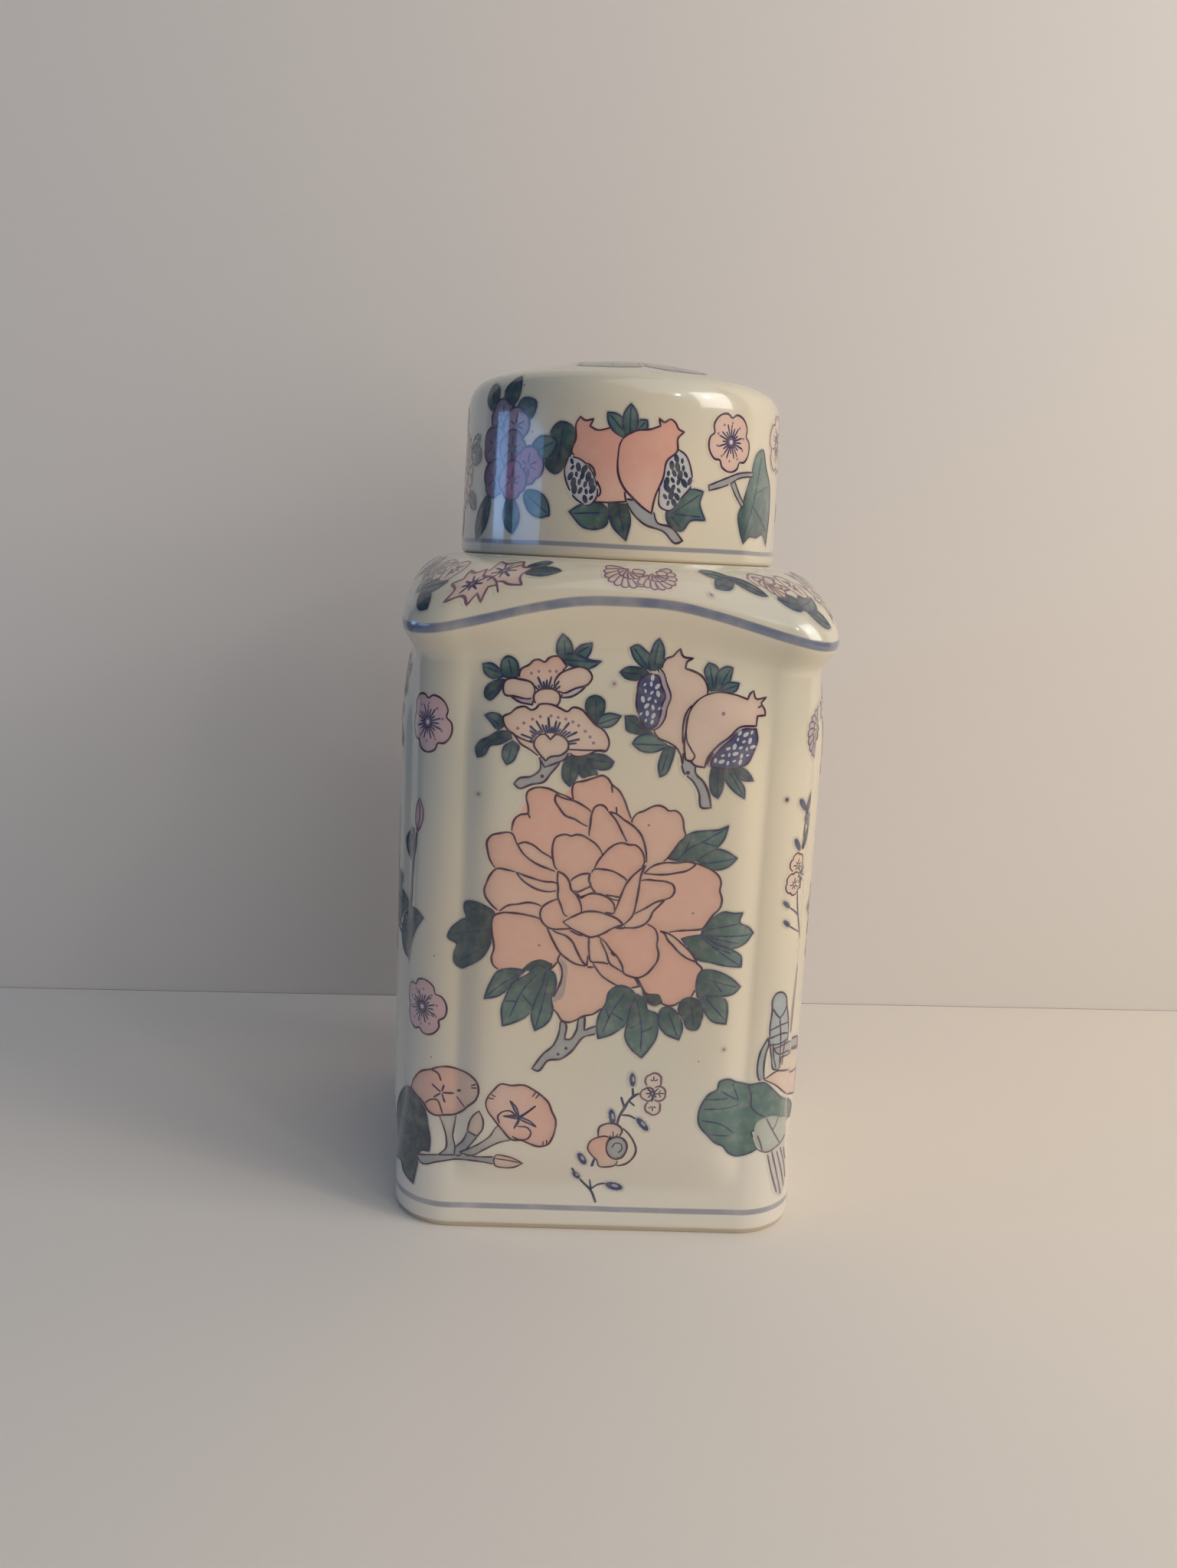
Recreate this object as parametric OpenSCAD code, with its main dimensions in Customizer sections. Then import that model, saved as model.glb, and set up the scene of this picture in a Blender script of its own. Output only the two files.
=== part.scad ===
// Lidded porcelain jar: a square slip-cast body with raised panels and a round cap lid.
// Millimetres, +Z up. The origin is on the table, under the middle of the jar.
// The jar is one lofted shell whose rings follow the photographed outline, with a turned
// neck on top; the lid is a turned cap that drops over the neck and rests on the seat.

/* [Jar body] */
// Height of the jar, from the table to the flat seat that carries the lid
jar_h = 169.5; // [150:0.5:200]
// Width across the rounded corner columns
body_w = 100.6; // [96:0.2:124]
// Radius of each rounded corner column
column_r = 13.8; // [9:0.2:20]
// How far each raised panel stands out past the columns
panel_rise = 3.8; // [1.5:0.1:6]
// Extra crown at the middle of each panel
panel_crown = 0.6; // [0:0.1:2]
// Width of the soft edge down the sides and along the top of a panel
panel_edge = 4; // [2:0.2:6]
// Width of the softer edge down the sides where a panel runs into the waist
panel_top_edge = 9; // [4:0.5:12]
// Height of the softer edge along the bottom of a panel
panel_foot_edge = 6.5; // [3:0.5:9]
// Thickness of the fired clay wall
wall = 4.5; // [3:0.1:6]
// Thickness of the floor, from the recess under the jar to the inside
floor_t = 5; // [3:0.1:10]
// Radius of the inside corner where wall and floor meet
floor_fillet = 6; // [2:0.5:9]

/* [Plinth and foot] */
// How far the plinth stands out past the columns
plinth_out = 2.1; // [0.5:0.1:4]
// Height of the straight plinth, from the table
plinth_h = 7; // [4:0.5:16]
// Height over which the plinth draws in to the columns
plinth_fade = 26; // [8:1:40]
// Height from the plinth to the lower edge of a panel
panel_lift = 4.5; // [2:0.5:12]
// Height of the unglazed foot ring, which is also the depth of the recess under the jar
foot_h = 1.2; // [0.6:0.1:3]
// Width of the flat foot ring
foot_w = 7; // [3:0.5:14]
// How far the foot ring is set in from the plinth
foot_inset = 0.8; // [0.2:0.1:2]

/* [Lip and shoulder] */
// How far the lip stands out past the columns
lip_out = 3.1; // [1:0.1:6]
// Share of the panel's form that the lip still shows
lip_bow = 0.2; // [0:0.05:0.6]
// Share of the panel's form that the waist still shows
waist_bow = 0.5; // [0:0.05:0.8]
// How far the lip droops from the middle of a face to a corner
lip_drop = 8.6; // [0:0.2:14]
// Height of the shoulder, from the lip at the middle of a face to the seat
shoulder_rise = 9.1; // [6:0.1:18]
// Drop from the lip at a corner to the waist under it
waist_drop = 8; // [5:0.2:14]
// Share of the lip's droop that the waist still follows
waist_follow = 0.55; // [0:0.05:1]
// Roundness of the shoulder: 1 is a straight slope and 2 a full quarter round
shoulder_round = 1.65; // [1.2:0.05:2]

/* [Neck and lid] */
// Outer diameter of the lid at its rim
lid_d = 84.4; // [72:0.2:90]
// Height of the lid, from its rim to its crown
lid_h = 50.5; // [38:0.5:70]
// How much narrower each side of the lid is at the top than at the rim
lid_taper = 0.8; // [0:0.1:3]
// Height of the low dome on the lid
dome_rise = 8; // [3:0.1:14]
// Radius of the lid's rounded top edge
lid_edge_r = 8; // [2:0.2:9]
// Radius of the rim's rounded outer edge
rim_r = 1.2; // [0.4:0.1:2]
// Thickness of the lid's side wall
lid_wall = 4.6; // [3:0.1:7]
// Thickness of the lid's dome
lid_top_t = 5.5; // [3:0.1:9]
// Running gap all round between the lid and the neck
lid_gap = 1.2; // [0.4:0.1:2.5]
// Height of the neck above the seat
neck_h = 18; // [8:0.5:26]
// Thickness of the neck's wall
neck_wall = 4.4; // [3:0.1:7]
// How far the neck's tube runs into the jar below the shoulder
neck_root = 0.8; // [0.4:0.1:3]
// Width of the flat seat that shows outside the lid
seat_rim = 1.4; // [0.6:0.1:3]

/* [Smoothness] */
// Points from the middle of a face to its valley
panel_points = 5; // [4:1:8]
// Points from a valley to the middle of a column
column_points = 4; // [3:1:6]
// Segments of every turned form
turn_fn = 96; // [48:12:180]

/* [Hidden] */

// Half widths of the column and plinth, and the flat length from a face's middle to its valley
half = body_w / 2;
plinth_a = half + plinth_out;
flat = half - column_r;
reach = flat + column_r * PI / 4;

// Heights up the jar: the lip at its two extremes, the waist, and where a panel's soft edges begin and end
lip_mid_z = jar_h - shoulder_rise;
lip_corner_z = lip_mid_z - lip_drop;
waist_z = lip_corner_z - waist_drop;
panel_z0 = plinth_h + panel_lift;
panel_span = 3 * panel_edge;
panel_foot_span = 3 * panel_foot_edge;
panel_z1 = panel_z0 + panel_foot_span;
panel_z2 = waist_z - panel_span;
full_rise = panel_rise + panel_crown;

// Radii of the lid, the neck inside it, and the flat seat
lid_r = lid_d / 2;
lid_in_r = lid_r - lid_wall;
neck_r = lid_in_r - lid_gap;
bore_r = neck_r - neck_wall;
seat_r = lid_r + seat_rim;
hole_r = (neck_r + bore_r) / 2;
ceiling_z = jar_h - wall;
floor_z = foot_h + floor_t;

// Smooth step from 0 to 1 with a level tangent at both ends
function ease(u) = 0.5 - 0.5 * cos(180 * min(1, max(0, u)));
// Rise of a panel at a distance in from its edge: a soft hollow first, then a rounded brow
function brow(m, edge = panel_edge) = m <= 0 ? 0 : 1 - exp(-pow(m / edge, 1.5));
// Droop of the lip along a face: 0 at the face's middle and 1 at the corner
function droop(t) = pow(sin(90 * pow(t, 1.2)), 2);
// How far the body still stands out past the columns' width at a height, as the plinth draws in
function spread_at(z) = plinth_out * (1 - ease((z - plinth_h) / plinth_fade));
// Rise of the panel's middle past the body at a height, so that its crest runs straight up
function panel_at(z) = (full_rise - spread_at(z)) * brow(z - panel_z0, panel_foot_edge)
    * (waist_bow + (1 - waist_bow) * brow(waist_z - z));
// Width of the soft edge down a panel's sides at a height
function edge_at(z) = panel_edge
    + (panel_top_edge - panel_edge) * ease((z - waist_z) / (1.5 * panel_span) + 1);

// Places along one eighth of a ring, as [share of the flat, angle round the column]
eighth = concat(
    [for (i = [0:panel_points - 1]) [sin(90 * i / panel_points), 0]],
    [for (i = [0:column_points]) [1, 45 * i / column_points]]);
// Share of the way from the middle of a face to the corner, for a place on the ring
function share(p) = (p[0] * flat + column_r * p[1] * PI / 180) / reach;

// Rise across a panel, as a share of its middle's: a rounded brow at its edge, then a slight crown
function across(u, edge) = (panel_rise * brow((1 - u) * flat, edge) + panel_crown * (1 - u * u)) / full_rise;
// One point of a ring on the face that looks along -Y, to the right of its middle.
// a is the half width, r the corner radius, k the rise of the panel's middle and edge its soft edge.
function face_point(p, a, r, k, edge) = p[1] == 0
    ? [p[0] * (a - r), -a - k * across(p[0], edge)]
    : [a - r + r * sin(p[1]), -(a - r) - r * cos(p[1])];

// A whole ring: eight eighths, mirrored and turned. Each row is
// [height at the corner, lift from the corner to the face's middle, half width, corner radius, panel rise,
// width of the panel's soft edge]
last = len(eighth) - 1;
function quarter(row) = concat(
    [for (i = [last:-1:1]) let (q = face_point(eighth[i], row[2], row[3], row[4], row[5]))
        [-q[0], q[1], row[0] + row[1] * (1 - droop(share(eighth[i])))]],
    [for (i = [0:last - 1]) let (q = face_point(eighth[i], row[2], row[3], row[4], row[5]))
        [q[0], q[1], row[0] + row[1] * (1 - droop(share(eighth[i])))]]);
function turned(q, n) = n == 0 ? q : turned([-q[1], q[0], q[2]], n - 1);
function ring(row) = [for (n = [0:3]) for (q = quarter(row)) turned(q, n)];
// A round ring with its points at the same places as the square rings
function round_ring(r, z) = let (
        angles = concat([for (i = [last:-1:1]) -45 * share(eighth[i])], [for (i = [0:last - 1]) 45 * share(eighth[i])]))
    [for (n = [0:3]) for (b = angles) [r * sin(b + 90 * n), -r * cos(b + 90 * n), z]];
// A ring part way up the shoulder, between the lip and a round ring
function shoulder_ring(w, lip, top) = let (
        out = pow(cos(w), 2 / shoulder_round),
        up = pow(sin(w), 2 / shoulder_round))
    [for (i = [0:len(lip) - 1]) [
        top[i][0] + (lip[i][0] - top[i][0]) * out,
        top[i][1] + (lip[i][1] - top[i][1]) * out,
        lip[i][2] + (top[i][2] - lip[i][2]) * up]];

// Rows of the body at a height, outside or inside by the wall's thickness
function body_row(z, skin) = [z, waist_follow * lip_drop * ease((z - waist_z + panel_span) / panel_span),
    half + spread_at(z) - skin, column_r + spread_at(z) - skin, panel_at(z), edge_at(z)];
// Rows of the flare from the waist to the lip, by share of the way
function flare_row(u, skin) = [waist_z + waist_drop * u, lip_drop * (waist_follow + (1 - waist_follow) * u),
    half + lip_out * ease(u) - skin, column_r - skin,
    full_rise * (waist_bow + (lip_bow - waist_bow) * ease(u)), panel_top_edge];

lip_ring = ring(flare_row(1, 0));
inner_lip_ring = [for (q = ring(flare_row(1, wall))) q - [0, 0, wall / 2]];
seat_ring = round_ring(seat_r, jar_h);
ceiling_ring = round_ring(seat_r - wall / 2, ceiling_z);

// Outside of the shell, from the recess under the jar up to the seat
outer_rings = concat(
    [ring([foot_h, 0, plinth_a - foot_inset / 2, column_r + plinth_out - foot_inset / 2, 0, panel_edge])],
    [ring(body_row(foot_h + foot_inset, 0)), ring(body_row(plinth_h, 0))],
    [for (i = [0:7]) ring(body_row(panel_z0 + panel_foot_span * i / 7, 0))],
    [for (i = [1:4]) ring(body_row(panel_z1 + (panel_z2 - panel_z1) * i / 5, 0))],
    [for (i = [0:7]) ring(body_row(waist_z - panel_span * (1 - i / 8), 0))],
    [for (i = [0:5]) ring(flare_row(i / 5, 0))],
    [for (w = [15:15:75]) shoulder_ring(w, lip_ring, seat_ring)],
    [seat_ring]);
// Inside of the shell, from the hole for the neck down to the floor
inner_rings = concat(
    [round_ring(hole_r, jar_h), round_ring(hole_r, ceiling_z), ceiling_ring],
    [for (w = [70:-25:20]) shoulder_ring(w, inner_lip_ring, ceiling_ring)],
    [inner_lip_ring],
    [for (u = [0.5, 0]) ring(flare_row(u, wall))],
    [for (i = [5:-2:1]) ring(body_row(waist_z - panel_span * (1 - i / 6), wall))],
    [for (i = [2:-1:0]) ring(body_row(panel_z1 + (panel_z2 - panel_z1) * i / 3, wall))],
    [for (b = [0:30:90]) ring([floor_z + floor_fillet * (1 - sin(b)), 0,
        half - wall - floor_fillet * (1 - cos(b)), column_r - wall, 0, panel_edge])]);

// A closed shell lofted through rings of equal length, with a flat cap on each end
module loft(rings) {
    n = len(rings[0]);
    rows = len(rings);
    sides = [for (i = [0:rows - 2]) for (j = [0:n - 1]) let (k = (j + 1) % n)
        each [[i * n + j, (i + 1) * n + j, (i + 1) * n + k], [i * n + j, (i + 1) * n + k, i * n + k]]];
    first = [[for (j = [0:n - 1]) j]];
    final = [[for (j = [n - 1:-1:0]) (rows - 1) * n + j]];
    polyhedron([for (r = rings) each r], concat(sides, first, final), convexity = 10);
}

// Flat outline of the foot at a distance in from the plinth
function foot_outline(d) = [for (q = ring([0, 0, plinth_a - d, column_r + plinth_out - d, 0, panel_edge]))
    [q[0], q[1]]];

// The jar: shell, foot ring and turned neck, one piece of fired clay
module jar() color("ivory") {
    union() {
        loft(concat(outer_rings, inner_rings));
        linear_extrude(foot_h + floor_t / 2)
            difference() {
                polygon(foot_outline(foot_inset));
                polygon(foot_outline(foot_inset + foot_w));
            }
        rotate_extrude($fn = turn_fn)
            polygon([
                [bore_r, ceiling_z - neck_root],
                [neck_r, ceiling_z - neck_root],
                [neck_r, jar_h + neck_h - neck_wall / 4],
                [neck_r - neck_wall / 4, jar_h + neck_h],
                [bore_r + neck_wall / 4, jar_h + neck_h],
                [bore_r, jar_h + neck_h - neck_wall / 4]]);
    }
}

// Radius of the sphere that rises by h over a disc of radius r
function dome_r(r, h) = (r * r + h * h) / (2 * h);
// Height of the dome over its rim, at radius x
function dome_z(x, r, h) = sqrt(pow(dome_r(r, h), 2) - x * x) - (dome_r(r, h) - h);

// The lid: a turned cap with tapered sides, a rounded edge and a low dome, hollow inside
module lid() color("linen") {
    top_r = lid_r - lid_taper;
    side_h = lid_h - dome_rise;
    // The rounded edge touches the side below the dome's rim and the dome inside it
    edge_z = side_h - lid_edge_r + dome_z(top_r - lid_edge_r, top_r, dome_rise) * 0.5;
    dome_from = top_r - lid_edge_r * 0.7;
    in_top_r = lid_in_r - lid_taper;
    in_z = side_h - lid_top_t;
    outer = concat(
        [for (b = [0:30:90]) [lid_r - rim_r + rim_r * sin(b), rim_r - rim_r * cos(b)]],
        [for (u = [0:0.2:1]) let (
                a = [top_r, edge_z],
                c = [top_r, side_h + dome_z(top_r - lid_edge_r / 4, top_r, dome_rise)],
                b = [dome_from, side_h + dome_z(dome_from, top_r, dome_rise)])
            a * (1 - u) * (1 - u) + c * 2 * u * (1 - u) + b * u * u],
        [for (i = [1:9]) let (x = dome_from * (1 - i / 9)) [x, side_h + dome_z(x, top_r, dome_rise)]]);
    inner = concat(
        [for (i = [0:8]) let (x = (in_top_r - lid_edge_r / 2) * i / 8) [x, in_z + dome_z(x, in_top_r, dome_rise)]],
        [[in_top_r, in_z - lid_edge_r / 2], [lid_in_r, rim_r], [lid_in_r + rim_r, 0]]);
    translate([0, 0, jar_h])
        rotate_extrude($fn = turn_fn)
            polygon(concat(outer, inner));
}

jar();
lid();
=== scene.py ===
import math

import bpy
import numpy as np
from mathutils import Matrix, Vector
from mathutils.geometry import delaunay_2d_cdt
from mathutils.kdtree import KDTree


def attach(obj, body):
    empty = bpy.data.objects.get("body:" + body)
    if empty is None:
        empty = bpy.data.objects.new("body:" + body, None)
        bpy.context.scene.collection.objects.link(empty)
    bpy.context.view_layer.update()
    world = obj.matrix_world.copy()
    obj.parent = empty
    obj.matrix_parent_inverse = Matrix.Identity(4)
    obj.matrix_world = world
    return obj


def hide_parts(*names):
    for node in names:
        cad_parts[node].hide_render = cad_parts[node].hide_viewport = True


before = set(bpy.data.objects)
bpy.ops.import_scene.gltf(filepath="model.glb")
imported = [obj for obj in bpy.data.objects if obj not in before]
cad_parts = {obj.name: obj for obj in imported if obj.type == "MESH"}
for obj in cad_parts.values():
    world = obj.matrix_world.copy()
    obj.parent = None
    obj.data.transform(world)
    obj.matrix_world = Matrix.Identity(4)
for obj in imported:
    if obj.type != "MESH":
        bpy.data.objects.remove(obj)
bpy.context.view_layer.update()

# The jar
# A square slip-cast porcelain caddy: a bowed panel on each face, rounded corner columns, a waved lip
# and a round neck, all one piece of fired clay. It is dipped in cream glaze and wiped bare at the
# foot, with a blue line brushed along the lip and a thinner one above the foot. Sizes are millimetres.
mm = 0.001
jar_height = 169.5
half_width = 50.3
column_radius = 13.8
panel_rise = 3.8
panel_crown = 0.6
panel_edge = 4.0
panel_top_edge = 9.0
panel_span = 3 * panel_edge
wall = 4.5
floor_top = 6.2
floor_round = 6.0
plinth_out = 2.1
plinth_height = 7.0
plinth_fade = 26.0
panel_foot = 11.5
panel_foot_edge = 6.5
foot_height = 1.2
foot_width = 7.0
foot_inset = 0.8
lip_out = 3.1
lip_bow = 0.2
waist_bow = 0.5
lip_droop = 8.6
waist_drop = 8.0
waist_follow = 0.55
shoulder_rise = 9.1
shoulder_power = 2 / 1.65
neck_height = 18.0
neck_radius = 36.4
bore_radius = 32.0
seat_radius = 43.6
dense_from = 26.0
flat = half_width - column_radius
reach = flat + column_radius * math.pi / 4
waist_level = jar_height - shoulder_rise - lip_droop - waist_drop
full_rise = panel_rise + panel_crown


def ease(share):
    """From 0 to 1 with a soft start and a soft end."""
    return 0.5 - 0.5 * np.cos(np.pi * np.clip(share, 0, 1))


def brow(inward, edge=panel_edge):
    """The share of a panel's rise at a distance in from its border."""
    return 1 - np.exp(-np.maximum(inward / edge, 0) ** 1.5)


# places along one face's ring, from one corner's middle to just short of the next
half_face = np.concatenate([
    np.linspace(0, dense_from, 14)[:-1],
    np.linspace(dense_from, flat, 12)[:-1],
    np.linspace(flat, reach, 15),
])
along = np.concatenate([-half_face[:0:-1], half_face[:-1]])
per_face = len(along)
per_ring = 4 * per_face


def four_faces(face):
    """A ring all round the jar, from the points of its front face."""
    x, y, z = face.T
    turns = [(x, y), (-y, x), (-x, -y), (y, -x)]
    return np.concatenate([np.stack([a, b, z], 1) for a, b in turns])


def square_ring(level, lift, width, radius, rise, edge=panel_edge):
    """A level of the jar: bowed faces and round corners, lifted towards the middle of each face."""
    far = np.abs(along)
    share = np.minimum(far / flat, 1)
    angle = np.maximum(far - flat, 0) / column_radius
    on_flat = far <= flat
    bow = (panel_rise * brow((1 - share) * flat, edge) + panel_crown * (1 - share * share)) / full_rise
    x = np.where(on_flat, share * (width - radius), width - radius + radius * np.sin(angle))
    y = np.where(on_flat, width + rise * bow, width - radius + radius * np.cos(angle))
    sag = np.sin(np.pi / 2 * (far / reach) ** 1.2) ** 2
    return four_faces(np.stack([np.sign(along) * x, -y, level + lift * (1 - sag)], 1))


def round_ring(radius, level):
    """A round level, with its points in step with the square ones."""
    angle = along / reach * np.pi / 4
    x, y = radius * np.sin(angle), -radius * np.cos(angle)
    return four_faces(np.stack([x, y, np.full(per_face, level)], 1))


def plinth_ring(level, inset):
    """A level of the plinth, drawn in by an inset."""
    return square_ring(level, 0, half_width + plinth_out - inset, column_radius + plinth_out - inset, 0)


def body_ring(level, skin=0.0):
    """A level of the wall from plinth to waist, on its outer face or a skin's thickness inside it."""
    spread = plinth_out * (1 - ease((level - plinth_height) / plinth_fade))
    lift = waist_follow * lip_droop * ease((level - waist_level) / panel_span + 1)
    rise = (full_rise - spread) * brow(level - panel_foot, panel_foot_edge)
    rise = rise * (waist_bow + (1 - waist_bow) * brow(waist_level - level))
    near_waist = ease((level - waist_level) / (1.5 * panel_span) + 1)
    edge = panel_edge + (panel_top_edge - panel_edge) * near_waist
    return square_ring(level, lift, half_width + spread - skin, column_radius + spread - skin, rise, edge)


def flare_ring(share, skin=0.0):
    """A level of the flare, from the waist at share 0 out to the lip at 1."""
    lift = lip_droop * (waist_follow + (1 - waist_follow) * share)
    rise = full_rise * (waist_bow + (lip_bow - waist_bow) * ease(share))
    width = half_width + lip_out * ease(share) - skin
    level = waist_level + waist_drop * share
    return square_ring(level, lift, width, column_radius - skin, rise, panel_top_edge)


def shoulder_ring(share, lip, top):
    """A level of the domed shoulder, from the lip at share 0 in to the seat at 1."""
    out = math.cos(share * math.pi / 2) ** shoulder_power
    up = math.sin(share * math.pi / 2) ** shoulder_power
    return top + (lip - top) * np.array([out, out, 1 - up])


body_levels = np.concatenate([
    [2.0, 2.7, 3.6, 5.0, 6.0, 7.0, 8.5, 10.0],
    np.arange(11.5, 23.5, 0.85),
    np.arange(24, 131, 2.1),
    np.arange(131.8, 143.8, 0.85),
])
flare_shares = np.linspace(0, 1, 11)
shoulder_shares = np.linspace(0, 1, 18)
lip_ring = flare_ring(1.0)
seat_ring = round_ring(seat_radius, jar_height)
inner_lip = flare_ring(1.0, wall) - np.array([0, 0, wall / 2])
ceiling = round_ring(seat_radius - wall / 2, jar_height - wall)

# the foot ring's rounded section, from its inner side to its outer one, as height and inset
foot_inside = foot_inset + foot_width
foot_section = [
    (foot_height, foot_inside + 0.2), (foot_height - 0.1, foot_inside + 0.05), (0.2, foot_inside - 0.05),
    (0.0, foot_inside - 0.3), (0.0, foot_inset + 0.3), (0.15, foot_inset + 0.05),
    (foot_height - 0.2, foot_inset), (foot_height, foot_inset - 0.15),
    (foot_height + 0.3, foot_inset - 0.6),
]
# the neck's section with its rounded root and rim, as radius and height over the seat
neck_section = [
    (seat_radius - 0.7, 0.0), (neck_radius + 2.0, 0.0), (neck_radius + 0.9, 0.1), (neck_radius + 0.3, 0.45),
    (neck_radius, 1.1), (neck_radius, 8.0), (neck_radius, neck_height - 1.4),
    (neck_radius - 0.3, neck_height - 0.6), (neck_radius - 0.9, neck_height),
    (bore_radius + 1.0, neck_height), (bore_radius + 0.3, neck_height - 0.5),
    (bore_radius, neck_height - 1.2), (bore_radius, 6.0), (bore_radius, 0.5 - wall),
    (bore_radius + 0.2, 0.1 - wall), (bore_radius + 0.8, -0.1 - wall),
]
under_rings = [plinth_ring(z, inset) for z, inset in foot_section]
body_rings = [body_ring(z) for z in body_levels]
flare_rings = [flare_ring(u) for u in flare_shares]
shoulder_rings = [shoulder_ring(w, lip_ring, seat_ring) for w in shoulder_shares[1:]]
neck_rings = [round_ring(r, jar_height + z) for r, z in neck_section]
inner_rings = [ceiling]
inner_rings += [shoulder_ring(w, inner_lip, ceiling) for w in (0.78, 0.5, 0.22, 0.0)]
inner_rings += [flare_ring(u, wall) for u in (0.5, 0.0)]
inner_rings += [body_ring(z, wall) for z in (141, 138, 134, 130, 110, 85, 60, 40, 24)]
for b in np.radians([0, 22, 45, 68, 90]):
    floor_level = floor_top + floor_round * (1 - math.sin(b))
    floor_width = half_width - wall - floor_round * (1 - math.cos(b))
    inner_rings.append(square_ring(floor_level, 0, floor_width, column_radius - wall, 0))
rings = under_rings + body_rings + flare_rings + shoulder_rings + neck_rings + inner_rings
lip_index = len(under_rings) + len(body_rings) + len(flare_rings) - 1


def new_object(name, mesh):
    item = bpy.data.objects.new(name, mesh)
    bpy.context.scene.collection.objects.link(item)
    return item


def grid_mesh(name, rows, closed):
    """A mesh through rows of points, in metres; closed rows join end to end."""
    count = rows.shape[1]
    points = rows.reshape(-1, 3) * mm
    sides = np.arange(count if closed else count - 1)
    lower, across = np.meshgrid(np.arange(rows.shape[0] - 1), sides, indexing="ij")
    nearby = (across + 1) % count
    quads = np.stack([lower * count + across, lower * count + nearby,
                      (lower + 1) * count + nearby, (lower + 1) * count + across], -1).reshape(-1, 4)
    faces = quads.tolist()
    if closed:
        first, last = len(points), len(points) + 1
        points = np.concatenate([points, [points[:count].mean(0), points[-count:].mean(0)]])
        top = (rows.shape[0] - 1) * count
        faces += [[first, (j + 1) % count, j] for j in range(count)]
        faces += [[last, top + j, top + (j + 1) % count] for j in range(count)]
    mesh = bpy.data.meshes.new(name)
    mesh.from_pydata(points.tolist(), [], faces)
    mesh.shade_smooth()
    return mesh


# each point of the jar knows how far past the lip it lies, for the line brushed there
jar_rows = np.array(rings)
jar_mesh = grid_mesh("jar_glazed", jar_rows, True)
steps = np.linalg.norm(np.diff(jar_rows, axis=0), axis=2)
climbed = np.concatenate([np.zeros((1, per_ring)), np.cumsum(steps, 0)])
far_off = 30
past_lip = np.clip(climbed - climbed[lip_index], -far_off, far_off)
past_lip = np.append(past_lip.ravel(), [-far_off, far_off]).astype(np.float32)
jar_mesh.attributes.new("past_lip", "FLOAT", "POINT").data.foreach_set("value", past_lip)


class Wire:
    """A node's output in an expression: arithmetic adds Math nodes, and node() adds any other kind."""

    def __init__(self, tree, socket=None):
        self.tree = tree
        self.socket = socket

    def node(self, kind, settings, sockets, out=0):
        made = self.tree.nodes.new(kind)
        for key, value in settings.items():
            setattr(made, key, value)
        for key, value in sockets.items():
            taken = next(s for i, s in enumerate(made.inputs) if key in (i, s.identifier))
            if isinstance(value, Wire):
                self.tree.links.new(value.socket, taken)
            else:
                taken.default_value = value
        given = [s for i, s in enumerate(made.outputs) if out in (i, s.identifier)]
        return Wire(self.tree, given[0] if given else None)

    def math(self, operation, *terms):
        return self.node("ShaderNodeMath", {"operation": operation}, dict(enumerate(terms)))

    def __add__(self, other):
        return self.math("ADD", self, other)

    def __sub__(self, other):
        return self.math("SUBTRACT", self, other)

    def __rsub__(self, other):
        return self.math("SUBTRACT", other, self)

    def __mul__(self, other):
        return self.math("MULTIPLY", self, other)

    __radd__ = __add__
    __rmul__ = __mul__

    def __abs__(self):
        return self.math("ABSOLUTE", self)

    def ramp(self, start, end):
        """0 at start and 1 at end, with a soft step between."""
        return self.node("ShaderNodeMapRange", {"interpolation_type": "SMOOTHSTEP"},
                         {"Value": self, "From Min": start, "From Max": end})

    def blend(self, first, second):
        """The first colour where this value is 0, the second where it is 1."""
        return self.node("ShaderNodeMix", {"data_type": "RGBA"},
                         {"Factor_Float": self, "A_Color": first, "B_Color": second}, "Result_Color")


def paint(red, green, blue):
    """A colour as a screen shows it, in the linear values that shaders take."""
    shares = [value / 255 for value in (red, green, blue)]
    return [s / 12.92 if s <= 0.04045 else ((s + 0.055) / 1.055) ** 2.4 for s in shares] + [1.0]


cream = paint(220, 204, 177)
cool_cream = paint(208, 199, 177)
# a paler, cooler cream painted in towards the foot as painted light
painted_low_light_cream = paint(229, 219, 202)
brushed_blue = paint(70, 87, 124)
bare_clay = paint(205, 191, 170)
iron_speck = paint(70, 52, 40)


def noise(start, place, scale, detail):
    """Soft random patches, the same at one place in every glaze."""
    return start.node("ShaderNodeTexNoise", {}, {"Vector": place, "Scale": scale, "Detail": detail})


def height_over_shelf(start, place):
    """The height of a place, in millimetres."""
    return start.node("ShaderNodeSeparateXYZ", {}, {"Vector": place}, "Z") * 1000


def glaze_parts(name):
    """A new material, the wires of its start and place, and the mottled glaze colour under any print,
    painted paler towards the foot as painted light.
    """
    material = bpy.data.materials.new(name)
    material.use_nodes = True
    material.node_tree.nodes.clear()
    start = Wire(material.node_tree)
    place = start.node("ShaderNodeTexCoord", {}, {}, "Object")
    mottled = noise(start, place, 16.0, 2.0).ramp(0.35, 0.7).blend(cream, cool_cream)
    # the glaze is painted paler and cooler towards the foot: painted light, standing in for light from low
    # in front
    mottled = height_over_shelf(start, place).ramp(78, -6).blend(mottled, painted_low_light_cream)
    grains = {"Vector": place, "Scale": 420.0}
    cells = start.node("ShaderNodeTexVoronoi", {}, grains, "Distance")
    chance = start.node("ShaderNodeTexVoronoi", {}, grains, "Color")
    picked = start.node("ShaderNodeSeparateColor", {}, {"Color": chance}, "Red").ramp(0.988, 0.992)
    speckled = (cells.ramp(0.13, 0.07) * picked * 0.8).blend(mottled, iron_speck)
    return material, start, place, speckled


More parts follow.
